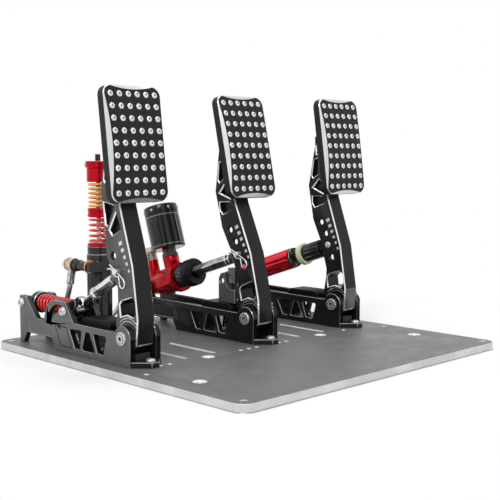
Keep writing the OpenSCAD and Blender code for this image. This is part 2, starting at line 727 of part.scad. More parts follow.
module clutch_spring() {
    color(red) at_pedal(0) translate([0, spring_front, spring_z]) rotate([-90, 0, 0])
        coil(spring_d, spring_wire, spring_l, spring_turns);
}

// Brake push rod, master cylinder and reservoir, along the line from the rear bolt
// to the arm pin; s is the distance from the rear bolt
brake_pin_at = pivot + lean_by(arm_pin, brake_lean);
brake_l = norm(brake_pin_at - rear_bolt);
module at_master() { at_pedal(1) along(rear_bolt, brake_pin_at) children(); }
ear_r = 9;
neck_w = inner_w - 2;
neck_end = 20;
flange_at = 50;
flange_t = 7;
boot_end = 72;
hex_start = boot_end + disc_t - 1;
hex_end = 143;
boot_d = 28;
hex_hole_d = rod_hex / cos(30) + 2 * slip_play;
turret_s = 44;
outlet_s = 8;
turret_top = 28;
outlet_top = 31;
module up_from(s) { translate([0, 0, s]) rotate([-90, 0, 0]) children(); }
module master_cylinder() {
    color(red) at_master() difference() {
        union() {
            rotate([0, 90, 0]) cylinder(h = neck_w, r = ear_r, center = true);
            translate([-neck_w / 2, -11, 0]) cube([neck_w, 22, neck_end]);
            translate([0, 0, neck_end]) rotate([0, 0, 22.5])
                cylinder(h = flange_at - neck_end, d = master_w / cos(22.5), $fn = 8);
            translate([0, 0, flange_at]) cylinder(h = flange_t, d = flange_d);
            up_from(turret_s) cylinder(h = turret_top, d = 20);
            up_from(outlet_s) cylinder(h = outlet_top, d = 14);
        }
        rotate([0, 90, 0]) cylinder(h = 2 * inner_w, d = bolt_d, center = true);
        translate([0, 0, neck_end - 6]) cylinder(h = flange_at, d = master_bore);
    }
}
module pressure_disc() {
    color(black) at_master() difference() {
        union() {
            translate([0, 0, flange_at + flange_t]) cylinder(h = boot_end - flange_at - flange_t, d = boot_d);
            translate([0, 0, boot_end]) cylinder(h = disc_t, d = disc_d);
        }
        translate([0, 0, flange_at]) cylinder(h = 60, d = hex_hole_d);
    }
}
module master_piston() {
    color(steel) at_master() translate([0, 0, neck_end + 8])
        cylinder(h = 16, d = master_bore - 2 * seat_gap);
}
module brake_pushrod() {
    color(steel) at_master() {
        translate([0, 0, neck_end + 24]) cylinder(h = hex_start - neck_end - 24, d = 8);
        translate([0, 0, hex_start]) cylinder(h = hex_end - hex_start, d = rod_hex / cos(30), $fn = 6);
        translate([0, 0, hex_end]) cylinder(h = 12, d = 6);
    }
}
module brake_fork() {
    color(steel) at_master() translate([0, 0, brake_l]) mirror([0, 0, 1]) difference() {
        union() {
            fork(brake_l - hex_end - nut_t, pin_d + 2 * run_fit);
            translate([0, 0, brake_l - hex_end - nut_t]) cylinder(h = nut_t, d = rod_hex / cos(30), $fn = 6);
        }
        translate([0, 0, brake_l - hex_end - 12]) cylinder(h = 20, d = 6);
    }
}
neck_top = 38;
module reservoir_neck() {
    color(black) at_master() up_from(turret_s) translate([0, 0, turret_top]) {
        cylinder(h = 4, d = 20);
        translate([0, 0, 4]) cylinder(h = neck_top - turret_top - 4, d = 17);
    }
}
reservoir_wall = 2.5;
reservoir_body_h = reservoir_h - reservoir_cap_h;
module reservoir() {
    color(black) at_master() up_from(turret_s) translate([0, 0, neck_top]) difference() {
        cylinder(h = reservoir_body_h, d = reservoir_d);
        translate([0, 0, reservoir_wall]) cylinder(h = reservoir_body_h, d = reservoir_d - 2 * reservoir_wall);
    }
}
module reservoir_cap() {
    color(black) at_master() up_from(turret_s) translate([0, 0, neck_top + reservoir_body_h]) {
        cylinder(h = reservoir_cap_h, d = reservoir_d);
        translate([0, 0, -4]) cylinder(h = 4, d = reservoir_d - 2 * reservoir_wall - 0.2);
    }
}

// Slave column behind the clutch: body, gland, rod, collar, two springs and cap
module at_slave() { translate([-slave_x, slave_y, plate_t]) children(); }
slave_bore = 15;
slave_floor = 12;
gland_top = slave_h + gland_h;
collar_z = gland_top + red_spring_l;
cap_z = collar_z + collar_h + gold_spring_l;
port_z = 86;
port_d = 11;
port_l = 28;
// The port stands beside the body on a block and points to the rear
port_x = slave_d / 2 + port_d / 2 + seat_gap;
port_front = -10;
block_deep = 7;
passage_turn = 25;
module slave_body() {
    color(black) at_slave() difference() {
        union() {
            cylinder(h = slave_h, d = slave_d);
            cylinder(h = 5, d = slave_d + 6);
            translate([-port_x - port_d / 2, port_front - block_deep, port_z - port_d / 2])
                cube([port_x + port_d / 2, block_deep, port_d]);
        }
        translate([0, 0, slave_floor]) cylinder(h = slave_h, d = slave_bore);
        translate([-port_x, port_front + 1, port_z]) rotate([90, 0, 0]) cylinder(h = block_deep - 1, d = 5);
        translate([-port_x, port_front - block_deep + 2.5, port_z]) rotate([0, 90, passage_turn])
            cylinder(h = port_x, d = 3);
    }
}
module slave_gland() {
    color(black) at_slave() translate([0, 0, slave_h]) difference() {
        union() {
            cylinder(h = gland_h, d = slave_d - 2);
            cylinder(h = gland_h * 0.4, d = slave_d + 1);
            translate([0, 0, gland_h * 0.7]) cylinder(h = gland_h * 0.3, d = slave_d + 1);
        }
        translate([0, 0, -1]) cylinder(h = gland_h + 2, d = slave_rod_d + 2 * run_fit);
    }
}
module slave_port() {
    color(black) at_slave() translate([-port_x, port_front, port_z]) rotate([-90, 0, 0]) {
        cylinder(h = washer_t, d = port_d + 4);
        cylinder(h = port_l, d = port_d);
        translate([0, 0, port_l - 10]) cylinder(h = 10, d = (port_d + 1) / cos(30), $fn = 6);
    }
}
clamp_h = 8;
piston_z = 62;
piston_h = 12;
module slave_rod() {
    color(steel) at_slave() {
        translate([0, 0, piston_z]) cylinder(h = cap_z + slave_cap_h + 7.5 - piston_z, d = slave_rod_d);
        translate([0, 0, piston_z]) cylinder(h = piston_h, d = slave_bore - 2 * run_fit);
    }
}
module slave_cap() {
    color(red) at_slave() translate([0, 0, cap_z]) difference() {
        union() {
            cylinder(h = slave_cap_h, d = slave_cap_d);
            translate([0, 0, slave_cap_h - clamp_h]) cylinder(h = clamp_h, d = clamp_d);
        }
        translate([0, 0, -1]) cylinder(h = slave_cap_h + 2, d = slave_rod_d);
    }
}
module spring_collar() {
    color(red) at_slave() translate([0, 0, collar_z]) difference() {
        cylinder(h = collar_h, d = slave_cap_d);
        translate([0, 0, -1]) cylinder(h = collar_h + 2, d = slave_rod_d + 2 * run_fit);
    }
}
module red_spring() {
    color(red) at_slave() translate([0, 0, gland_top])
        coil(red_spring_d, red_spring_wire, red_spring_l, red_spring_turns);
}
module gold_spring() {
    color(gold) at_slave() translate([0, 0, collar_z + collar_h])
        coil(gold_spring_d, gold_spring_wire, gold_spring_l, gold_spring_turns);
}

// Banjo fittings at both ends of the hose, their hollow bolts and the hose
banjo_d = 14;
banjo_t = 9;
banjo_bolt_d = 8;
washer_t = 1.5;
slave_banjo_y = port_front + port_l + washer_t;
master_banjo_h = outlet_top + washer_t;
crimp_d = 9;
crimp_l = 16;
module banjo() {
    difference() {
        cylinder(h = banjo_t, d = banjo_d);
        translate([0, 0, -1]) cylinder(h = banjo_t + 2, d = banjo_bolt_d);
    }
}
module banjo_bolt(below) {
    translate([0, 0, -below]) cylinder(h = banjo_t + washer_t + below, d = banjo_bolt_d);
    translate([0, 0, banjo_t]) cylinder(h = washer_t, d = banjo_d + 1);
    translate([0, 0, -washer_t]) cylinder(h = washer_t, d = banjo_d + 1);
    translate([0, 0, banjo_t + washer_t]) cylinder(h = 5, d = 13, $fn = 6);
}
module at_slave_banjo() { at_slave() translate([-port_x, slave_banjo_y, port_z]) rotate([-90, 0, 0]) children(); }
module at_master_banjo() { at_master() up_from(outlet_s) translate([0, 0, master_banjo_h]) children(); }
tail_start = banjo_d / 2 - 1;
module tail(dir) { rotate([0, 0, dir]) rotate([0, 90, 0]) translate([0, 0, tail_start]) cylinder(h = crimp_l, d = crimp_d); }
slave_tail_turn = 99;
master_tail_turn = 180;
module banjo_fittings() {
    color(steel) {
        at_slave_banjo() { banjo(); translate([0, 0, banjo_t / 2]) tail(slave_tail_turn); }
        at_master_banjo() { banjo(); translate([0, 0, banjo_t / 2]) tail(master_tail_turn); }
    }
}
module banjo_bolts() {
    color(steel) {
        at_slave_banjo() banjo_bolt(washer_t);
        at_master_banjo() banjo_bolt(washer_t);
    }
}
hose_d = 6;
hose_sides = 8;
tail_end = tail_start + crimp_l;
slave_hose_end = [
    -slave_x - port_x + tail_end * cos(slave_tail_turn), slave_y + slave_banjo_y + banjo_t / 2,
    port_z - tail_end * sin(slave_tail_turn)
];
master_u = unit(brake_pin_at - rear_bolt);
master_n = [-master_u.y, master_u.x] * -1;
master_hose_yz = rear_bolt + master_u * outlet_s + master_n * (master_banjo_h + banjo_t / 2);
master_hose_end = [brake_x - tail_end, pivot_y + master_hose_yz.x, master_hose_yz.y];
hose_middle = [
    [-138.5, 147, 52], [-138, 152, 42.5], [-136.8, 159.5, 33.5], [-134.5, 168.5, 25.5], [-130.5, 178, 18.5],
    [-122.5, 186, 12.5], [-108, 191, 8], [-84, 192, 6],
    [-60, 192, 7], [-44, 192, 12], [-35, 191, 22], [-32, 189, 34], [-33, 186, 48], [-34, 183, 61],
    [-31, 181, 72], [-24, 180, 80]
];
// The hose leaves each crimp straight for a short way
straight = 3;
slave_tail = [cos(slave_tail_turn), 0, -sin(slave_tail_turn)];
hose_route = concat(
    [slave_hose_end, slave_hose_end + straight * slave_tail],
    hose_middle,
    [master_hose_end - [straight, 0, 0], master_hose_end]
);
function smooth(p, i, t) =
    let(n = len(p) - 1, a = p[max(i - 1, 0)], b = p[i], c = p[min(i + 1, n)], d = p[min(i + 2, n)])
    0.5 * (2 * b + (c - a) * t + (2 * a - 5 * b + 4 * c - d) * t * t + (3 * b - a - 3 * c + d) * t * t * t);
module brake_hose() {
    last = len(hose_route) - 1;
    path = concat(
        [slave_hose_end],
        [for (i = [1:last - 2], t = [0, 0.5]) smooth(hose_route, i, t)],
        [hose_route[last - 1], master_hose_end]
    );
    color(steel) translate([0, 0, plate_t]) sweep(path, hose_d / 2, hose_sides, [0, 1, 0.3]);
}

// Throttle damper along the line from the rear bolt to the arm pin
throttle_pin_at = pivot + lean_by(arm_pin, throttle_lean);
damper_l = norm(throttle_pin_at - rear_bolt);
module at_damper() { at_pedal(2) along(rear_bolt, throttle_pin_at) children(); }
tube_end = 107.5;
damper_cap_t = 4;
bumper_at = damper_l - 55;
knob_at = bumper_at + bumper_t + 0.2;
flutes = 8;
flute_d = 5;
flute_out = 1.2;
module damper_tube() {
    color(red) at_damper() difference() {
        union() {
            rotate([0, 90, 0]) cylinder(h = neck_w, r = ear_r, center = true);
            translate([-neck_w / 2, -11, 0]) cube([neck_w, 22, neck_end]);
            translate([0, 0, neck_end]) cylinder(h = tube_end - neck_end, d = tube_d);
        }
        rotate([0, 90, 0]) cylinder(h = 2 * inner_w, d = bolt_d, center = true);
        translate([0, 0, neck_end + 6]) cylinder(h = tube_end, d = tube_bore);
        for (i = [0:flutes - 1]) rotate([0, 0, 360 * i / flutes]) translate([tube_d / 2 + flute_out, 0, neck_end + 8])
            cylinder(h = tube_end, d = flute_d);
    }
}
module damper_cap() {
    color(black) at_damper() translate([0, 0, tube_end]) difference() {
        cylinder(h = damper_cap_t, d = tube_d - 1);
        translate([0, 0, -1]) cylinder(h = damper_cap_t + 2, d = damper_rod_d + 2 * slip_play);
    }
}
damper_piston_at = 60;
damper_piston_h = 8;
damper_fork_l = 17;
module damper_rod() {
    color(steel) at_damper() {
        translate([0, 0, damper_piston_at])
            cylinder(h = damper_l - damper_piston_at - damper_fork_l + 2.5, d = damper_rod_d);
        translate([0, 0, damper_piston_at]) cylinder(h = damper_piston_h, d = tube_bore - 2 * slip_play);
        translate([0, 0, damper_l]) mirror([0, 0, 1]) fork(damper_fork_l, pin_d + 2 * run_fit);
    }
}
module bumper_ring() {
    color(cream) at_damper() translate([0, 0, bumper_at]) difference() {
        cylinder(h = bumper_t, d = bumper_d);
        translate([0, 0, -1]) cylinder(h = bumper_t + 2, d = damper_rod_d);
    }
}
module adjuster_knob() {
    color(black) at_damper() translate([0, 0, knob_at]) difference() {
        cylinder(h = knob_l, d = knob_d);
        translate([0, 0, -1]) cylinder(h = knob_l + 2, d = damper_rod_d + 2 * run_fit);
        for (i = [0:11]) rotate([0, 0, 30 * i]) translate([knob_d / 2 + 0.6, 0, 3]) cylinder(h = knob_l, d = 3.6);
    }
}

base_plate();
clutch_left_plate();
clutch_right_plate();
brake_left_plate();
brake_right_plate();
throttle_left_plate();
throttle_right_plate();
feet();
frame_braces();
pivot_axles();
pivot_screws();
cross_bolts();
foot_screws();
sensor_bracket();
sensors();
clutch_arm();
clutch_pad();
clutch_pad_studs();
clutch_pin();
clutch_clip();
clutch_link();
link_nut();
clutch_rocker();
spring_bolt();
spring_front_seat();
spring_rear_seat();
clutch_spring();
brake_arm();
brake_pad();
brake_pad_studs();
brake_pin();
brake_clip();
brake_pushrod();
brake_fork();
master_piston();
master_cylinder();
pressure_disc();
reservoir_neck();
reservoir();
reservoir_cap();
banjo_fittings();
banjo_bolts();
brake_hose();
slave_body();
slave_gland();
slave_port();
slave_rod();
slave_cap();
spring_collar();
red_spring();
gold_spring();
throttle_arm();
throttle_pad();
throttle_pad_studs();
throttle_pin();
damper_tube();
damper_cap();
damper_rod();
bumper_ring();
adjuster_knob();
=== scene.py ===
"""Three sim racing pedals on a flat plate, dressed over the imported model."""

import json
import math

import bmesh
import bpy
import numpy as np
from mathutils import Matrix, Vector


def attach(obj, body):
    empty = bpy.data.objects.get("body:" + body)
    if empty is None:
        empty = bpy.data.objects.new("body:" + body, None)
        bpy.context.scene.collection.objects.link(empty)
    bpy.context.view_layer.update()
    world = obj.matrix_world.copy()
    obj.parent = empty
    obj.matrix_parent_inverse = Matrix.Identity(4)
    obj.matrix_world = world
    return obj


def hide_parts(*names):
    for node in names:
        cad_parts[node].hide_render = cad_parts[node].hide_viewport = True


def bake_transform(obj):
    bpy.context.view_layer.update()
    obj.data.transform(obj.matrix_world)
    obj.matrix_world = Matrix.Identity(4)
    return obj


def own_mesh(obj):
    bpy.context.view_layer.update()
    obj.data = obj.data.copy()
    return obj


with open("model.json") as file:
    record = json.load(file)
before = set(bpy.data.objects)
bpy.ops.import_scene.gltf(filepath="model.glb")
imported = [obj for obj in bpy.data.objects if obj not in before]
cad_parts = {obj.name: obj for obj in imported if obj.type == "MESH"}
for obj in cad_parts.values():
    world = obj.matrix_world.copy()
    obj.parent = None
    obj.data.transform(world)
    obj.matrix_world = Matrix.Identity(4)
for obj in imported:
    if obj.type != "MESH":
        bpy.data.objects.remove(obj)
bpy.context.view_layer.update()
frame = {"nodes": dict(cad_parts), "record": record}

# Lengths are in millimetres, as in the part's source, and become metres in Shape.made()
MM = 0.001
PLATE_TOP = 8.0
PIVOT_Y = -9.0
PIVOT_H = 28.0
PEDAL_X = {"clutch": -161.5, "brake": 8.5, "throttle": 156.5}
LEAN = {"clutch": 0.0, "brake": 5.5, "throttle": 1.2}

# Half the width over an arm's faces, and over a pedal's side plates
ARM_HALF = 11.0
SIDE_OUT = 19.5

# Places in a pedal's side view, as (y, z) from the pivot's foot on the plate
REAR_BOLT = (184.5, 44.5)
SPRING_BOLT = (101.501, 43.474)
BRAKE_PIN = (18.817, 98.220)
THROTTLE_PIN = (13.499, 99.433)

# Round holes through an arm, as (y, z) from its pivot, and the hole that takes a pin with a clip
ARM_HOLES = {
    "clutch": [(24.2, 80), (16.5, 65)],
    "brake": [(24.3, 99.2), (17, 85.5), (12, 71.7), (7.4, 56.8)],
    "throttle": [(24.3, 99.2), (17, 85.5), (12, 71.7), (7.4, 56.8)],
}
ARM_PIN = {"clutch": (16.5, 65), "brake": (12, 71.7)}

# The column's foot on the plate, as (x, y)
SLAVE = (-115.0, 119.0)

# A pad's place and lean on its arm, its size, and the hollow of its front
PAD_AT = (-2.2, 191.6)
PAD_LEAN = 7.0
PAD_W, PAD_H = 70.0, 115.0
PAD_BACK = 10.739
CROWN_R = 390.0
CROWN_DEPTH = 3.0

BODY = {node: body for body, nodes in frame["record"]["behaviour"]["bodies"].items() for node in nodes}


# Frames, as 4 by 4 arrays

def moved(x, y, z):
    """A shift."""
    return np.array(Matrix.Translation((x, y, z)))


def turned(axis, degrees):
    """A turn round one of the axes X, Y and Z."""
    return np.array(Matrix.Rotation(math.radians(degrees), 4, axis))


def at_pedal(name):
    """Upright on the plate, under the pedal's pivot."""
    return moved(PEDAL_X[name], PIVOT_Y, PLATE_TOP)


def at_pivot(name):
    """At the pivot, leaning as the arm does."""
    return at_pedal(name) @ moved(0, 0, PIVOT_H) @ turned("X", -LEAN[name])


def at_pad(name):
    """At the middle of the pad's front, leaning as the pad does."""
    return at_pivot(name) @ moved(0, *PAD_AT) @ turned("X", -PAD_LEAN)


def along(name, start, end):
    """A rod's frame: z runs from start to end in the pedal's side view."""
    rise = math.degrees(math.atan2(end[1] - start[1], end[0] - start[0]))
    return at_pedal(name) @ moved(0, *start) @ turned("X", rise - 90)


def up_from(distance):
    """Square to a rod and upward, from a point along it."""
    return moved(0, 0, distance) @ turned("X", -90)


AT_MASTER = along("brake", REAR_BOLT, BRAKE_PIN)
AT_DAMPER = along("throttle", REAR_BOLT, THROTTLE_PIN)
AT_SLAVE = moved(*SLAVE, PLATE_TOP)


def placed(points, matrix):
    """Points carried by a frame."""
    return np.asarray(points, float) @ matrix[:3, :3].T + matrix[:3, 3]


# Procedural finishes

# Middle range of a noise, scale of the smudges, stretch of a streaked grain, and depth of the relief
NOISE_LOW, NOISE_HIGH = 0.3, 0.7
SMUDGE_SCALE = 70.0
STREAK = 0.02
RELIEF_DEPTH = 0.0004


def shader_node(tree, kind, **values):
    """A new node with its sockets set by name, underscores standing for spaces."""
    made = tree.nodes.new("ShaderNode" + kind)
    for socket, value in values.items():
        made.inputs[socket.replace("_", " ")].default_value = value
    return made


def maths(tree, operation, first, second):
    """The outcome of a Math node on a link and on another link or a number."""
    made = shader_node(tree, "Math")
    made.operation = operation
    tree.links.new(first, made.inputs[0])
    if isinstance(second, float):
        made.inputs[1].default_value = second
    else:
        tree.links.new(second, made.inputs[1])
    return made.outputs["Value"]


def raised(tree, height, strength):
    """A bump from a height, joined to the material's shader."""
    relief = shader_node(tree, "Bump", Strength=strength, Distance=RELIEF_DEPTH)
    tree.links.new(height, relief.inputs["Height"])
    tree.links.new(relief.outputs["Normal"], tree.nodes["Principled BSDF"].inputs["Normal"])


def finish(name, colour, rough, metallic=0.0, coat=0.0, vary=0.12, grain=900.0, bump=0.05,
           smudge=0.08, streak=None, specular=0.5, spots=38.0):
    """A surface whose colour drifts with broad noise of so many spots to a metre, whose gloss drifts
    with smudges, and whose fine grain is a bump. streak stretches the grain along one axis."""
    material = bpy.data.materials.new(name)
    material.use_nodes = True
    tree = material.node_tree
    shader = tree.nodes["Principled BSDF"]
    shader.inputs["Metallic"].default_value = metallic
    shader.inputs["Coat Weight"].default_value = coat
    shader.inputs["Coat Roughness"].default_value = 0.08
    shader.inputs["Specular IOR Level"].default_value = specular
    place = shader_node(tree, "TexCoord").outputs["Object"]

    broad = shader_node(tree, "TexNoise", Scale=spots, Detail=4.0)
    tint = shader_node(tree, "ValToRGB")
    for stop, position, drift in zip(tint.color_ramp.elements, (NOISE_LOW, NOISE_HIGH), (-vary, vary)):
        stop.position = position
        stop.color = [min(1, c * (1 + drift)) for c in colour] + [1]
    tree.links.new(place, broad.inputs["Vector"])
    tree.links.new(broad.outputs["Fac"], tint.inputs["Fac"])
    tree.links.new(tint.outputs["Color"], shader.inputs["Base Color"])

    smear = shader_node(tree, "TexNoise", Scale=SMUDGE_SCALE, Detail=5.0)
    gloss = shader_node(tree, "MapRange", From_Min=NOISE_LOW, From_Max=NOISE_HIGH,
                        To_Min=max(0.03, rough - smudge), To_Max=min(1, rough + smudge))
    tree.links.new(place, smear.inputs["Vector"])
    tree.links.new(smear.outputs["Fac"], gloss.inputs["Value"])
    tree.links.new(gloss.outputs["Result"], shader.inputs["Roughness"])

    fine = shader_node(tree, "TexNoise", Scale=grain, Detail=2.0)
    if streak:
        squeeze = shader_node(tree, "Mapping", Scale=[STREAK if axis == streak else 1.0 for axis in "XYZ"])
        tree.links.new(place, squeeze.inputs["Vector"])
        place = squeeze.outputs["Vector"]
    tree.links.new(place, fine.inputs["Vector"])
    raised(tree, fine.outputs["Fac"], bump)
    return material


def braid(name):
    """Crossed strands on a hose: the higher of two slanted waves, laid out by the hose's own UV map."""
    material = finish(name, (0.42, 0.43, 0.45), 0.34, metallic=0.9)
    tree = material.node_tree
    layout = shader_node(tree, "UVMap")
    layout.uv_map = "strands"
    waves = []
    for slant in (45, -45):
        turn = shader_node(tree, "Mapping", Rotation=(0, 0, math.radians(slant)))
        wave = shader_node(tree, "TexWave", Scale=2.2)
        tree.links.new(layout.outputs["UV"], turn.inputs["Vector"])
        tree.links.new(turn.outputs["Vector"], wave.inputs["Vector"])
        waves.append(wave.outputs["Fac"])
    cross = maths(tree, "MAXIMUM", *waves)
    shade = shader_node(tree, "ValToRGB")
    shade.color_ramp.elements[0].color = (0.10, 0.10, 0.11, 1)
    shade.color_ramp.elements[1].color = (0.58, 0.59, 0.61, 1)
    tree.links.new(cross, shade.inputs["Fac"])
    tree.links.new(shade.outputs["Color"], tree.nodes["Principled BSDF"].inputs["Base Color"])
    raised(tree, cross, 0.5)
    return material


PLATE_GREY = finish("plate_grey", (0.175, 0.170, 0.174), 0.50, metallic=0.35, vary=0.07, grain=2600,
                    bump=0.12)
PLATE_SIDE = finish("plate_side", (0.60, 0.61, 0.62), 0.34, metallic=0.8, grain=1500, bump=0.1, streak="X")
CUT_EDGE = finish("cut_edge", (0.80, 0.81, 0.82), 0.24, metallic=0.9, vary=0.05, smudge=0.05)
PAD_EDGE = finish("pad_edge", (0.64, 0.65, 0.66), 0.26, metallic=0.9, vary=0.05, smudge=0.05)
SOFT_EDGE = finish("soft_edge", (0.30, 0.30, 0.31), 0.30, metallic=0.8, vary=0.10)
FRAME_BLACK = finish("frame_black", (0.009, 0.009, 0.010), 0.34, vary=0.25, grain=2400, bump=0.08,
                     specular=0.22)
ARM_BLACK = finish("arm_black", (0.008, 0.008, 0.009), 0.32, vary=0.25, grain=2400, bump=0.07,
                   specular=0.22)
PAD_BLACK = finish("pad_black", (0.010, 0.010, 0.011), 0.45, vary=0.25, grain=3000, bump=0.15,
                   specular=0.22)
GLOSS_BLACK = finish("gloss_black", (0.008, 0.008, 0.009), 0.18, coat=0.12, smudge=0.05, bump=0.02,
                     specular=0.35)
RIM_LINE = finish("rim_line", (0.34, 0.34, 0.35), 0.28, metallic=0.7)
STUD = finish("polished_stud", (0.74, 0.75, 0.77), 0.20, metallic=0.7, vary=0.25, spots=700, smudge=0.05,
              bump=0.02)
BOLT = finish("bright_bolt", (0.60, 0.61, 0.62), 0.24, metallic=0.6, vary=0.25, spots=400, bump=0.05)
# The link, fork and bar finishes are mottled by broad noise of strong drift, painted reflections of the
# surroundings; the fork's dark base is a painted dark reflection too
LINK_PAINTED_REFLECTIONS = finish("polished_link_painted_reflections", (0.50, 0.505, 0.52), 0.15, metallic=0.55, vary=0.45, spots=260, smudge=0.06,
              bump=0.04)
FORK_PAINTED_REFLECTIONS = finish("fork_steel_painted_reflections", (0.105, 0.10, 0.095), 0.20, metallic=0.7, vary=0.6, spots=220, bump=0.04)
BAR_PAINTED_REFLECTIONS = finish("bar_chrome_painted_reflections", (0.44, 0.445, 0.46), 0.14, metallic=0.5, vary=0.5, spots=200, bump=0.03,
             streak="Y")
# Steel painted dark as shade, for the studs' dimples and the pivot caps' grooves and sockets
STEEL_PAINTED_SHADE = finish("dark_steel", (0.20, 0.205, 0.215), 0.20, metallic=1.0, vary=0.10)
RED_ANODISED = finish("red_anodised", (0.50, 0.003, 0.014), 0.26, metallic=0.60, vary=0.30, spots=70,
                      bump=0.03, specular=0.2)
RED_TUBE = finish("red_tube", (0.85, 0.008, 0.036), 0.20, metallic=0.60, coat=0.35, vary=0.20, spots=70,
                  bump=0.03, specular=0.4)
RED_PAINT = finish("red_paint", (0.72, 0.018, 0.012), 0.25, coat=0.6, vary=0.08, bump=0.03)
GOLD_PAINT = finish("gold_paint", (0.85, 0.36, 0.035), 0.28, metallic=0.25, coat=0.5, vary=0.08)
WASHER = finish("washer_gold", (0.66, 0.33, 0.09), 0.28, metallic=0.9, vary=0.12)
CREAM = finish("bumper_rubber", (0.78, 0.80, 0.50), 0.55, vary=0.06, grain=1200, bump=0.12)
BRACKET = finish("bracket_grey", (0.062, 0.062, 0.065), 0.46, metallic=0.2, vary=0.3, spots=300,
                 grain=1800, bump=0.14)
# A paler black: painted light on the clutch plate's outer left face
LEFT_FACE_PAINTED_LIGHT = finish("left_face_painted_light", (0.118, 0.117, 0.123), 0.40, vary=0.08, grain=2400, bump=0.08,
                   specular=0.25)
# A paler black: painted light on the clutch arm's left face
ARM_LEFT_PAINTED_LIGHT = finish("arm_left_painted_light", (0.075, 0.074, 0.078), 0.36, vary=0.10, grain=2400, bump=0.07,
                  specular=0.25)
# A grey painted on the throttle's lower front facet: a painted reflection
FACET_PAINTED_REFLECTION = finish("lower_facet_painted_reflection", (0.085, 0.085, 0.09), 0.42, vary=0.12)
# White painted on the plate's hole walls: painted light for the lit floor seen through the holes
HOLE_WALL_PAINTED_LIGHT = finish("hole_wall_painted_light", (0.86, 0.86, 0.87), 0.4, vary=0.03)
# A near black that is painted shade, on the braces between the side plates and on the pockets' outlines
PAINTED_SHADE_BLACK = finish("painted_shade_black", (0.0035, 0.0035, 0.0035), 0.5, specular=0.1)
PLASTIC = finish("black_plastic", (0.022, 0.022, 0.024), 0.48, grain=1900, bump=0.14)
# A paler grey painted on the sensor's left face: painted light
SENSOR_FACE_PAINTED_LIGHT = finish("sensor_face_painted_light", (0.11, 0.112, 0.115), 0.42)
MARK_WHITE = finish("mark_white", (0.60, 0.61, 0.62), 0.45, vary=0.05)
NECK_OLIVE = finish("neck_olive", (0.045, 0.042, 0.026), 0.26, coat=0.3)
THREAD = finish("thread_steel", (0.16, 0.125, 0.115), 0.30, metallic=1.0)
BRAID = braid("braided_hose")


# Meshes worked out as arrays

# Least lean of a mitre, distance in metres at which points merge, and degrees that count as flat
MITRE_LEAST = 0.4
WELD = 2e-6
FLAT_TURN = 0.4


class Shape:
    """Points in millimetres, faces and a finish number for each face, gathered part by part."""

    def __init__(self):
        self.points = []
        self.faces = []
        self.finishes = []
        self.count = 0

    def add(self, points, faces, numbers=0, matrix=None):
        """One more part; numbers is one finish number, or one for each face."""
        points = np.asarray(points, float).reshape(-1, 3)
        if matrix is not None:
            points = placed(points, matrix)
        self.points.append(points)
        self.faces += [[int(i) + self.count for i in face] for face in faces]
        self.finishes += np.broadcast_to(numbers, len(faces)).astype(int).tolist()
        self.count += len(points)
        return self

    def made(self, name, node, materials, covers=True, sharp=35.0, uv=None):
        """What was gathered, as a piece that goes with a CAD node and covers it."""
        mesh = bpy.data.meshes.new(name)
        mesh.from_pydata((np.concatenate(self.points) * MM).tolist(), [], self.faces)
        mesh.polygons.foreach_set("material_index", self.finishes)
        if uv is not None:
            loops = np.empty(len(mesh.loops), int)
            mesh.loops.foreach_get("vertex_index", loops)
            layer = mesh.uv_layers.new(name="strands")
            layer.data.foreach_set("uv", np.asarray(uv)[loops].ravel())
        return finished(mesh, name, node, materials, covers, sharp)


def finished(mesh, name, node, materials, covers, sharp):
    """Puts a mesh on show: outward faces, smooth between sharp edges, riding on its node's body."""
    work = bmesh.new()
    work.from_mesh(mesh)
    bmesh.ops.recalc_face_normals(work, faces=work.faces)
    work.to_mesh(mesh)
    work.free()
    mesh.shade_smooth()
    mesh.set_sharp_from_angle(angle=math.radians(sharp))
    piece = bpy.data.objects.new(name, mesh)
    bpy.context.scene.collection.objects.link(piece)
    for material in materials:
        mesh.materials.append(material)
    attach(piece, BODY[node])
    if covers:
        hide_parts(node)
    return piece


def strip(rows):
    """Quads between rows of points, each row closed on itself; rows is (rows, columns, 3)."""
    count, columns = rows.shape[:2]
    index = np.arange(count * columns).reshape(count, columns)
    after = np.roll(index, -1, axis=1)
    return np.stack([index[:-1], after[:-1], after[1:], index[1:]], -1).reshape(-1, 4).tolist()


def capped(rows):
    """A closed skin: the strip between rows, and the first and last rows filled."""
    count, columns = rows.shape[:2]
    first = list(range(columns))[::-1]
    last = list(range((count - 1) * columns, count * columns))
    return rows.reshape(-1, 3), strip(rows) + [first, last]


def lathe(profile, around=64, shape=None):
    """A profile of (radius, height) turned round z; shape works out each radius anew from the
    radius, the height and the angle."""
    profile = np.asarray(profile, float)
    angle = np.linspace(0, 2 * np.pi, around, endpoint=False)
    radius = np.repeat(profile[:, :1], around, 1)
    if shape is not None:
        radius = shape(radius, profile[:, 1:2], angle[None, :])
    height = np.repeat(profile[:, 1:2], around, 1)
    return np.stack([radius * np.cos(angle), radius * np.sin(angle), height], -1)


def tube(path, radius, sides=12, away=(0.0, 0.0, 1.0)):
    """A circle carried along a path, its ring square to the path, with away as the reference."""
    path = np.asarray(path, float)
    forward = np.gradient(path, axis=0)
    forward /= np.linalg.norm(forward, axis=1, keepdims=True)
    side = np.cross(np.asarray(away, float), forward)
    side /= np.linalg.norm(side, axis=1, keepdims=True)
    upward = np.cross(forward, side)
    angle = np.linspace(0, 2 * np.pi, sides, endpoint=False)
    ring = np.cos(angle)[None, :, None] * side[:, None] + np.sin(angle)[None, :, None] * upward[:, None]
    return path[:, None] + ring * np.reshape(radius, (-1, 1, 1))


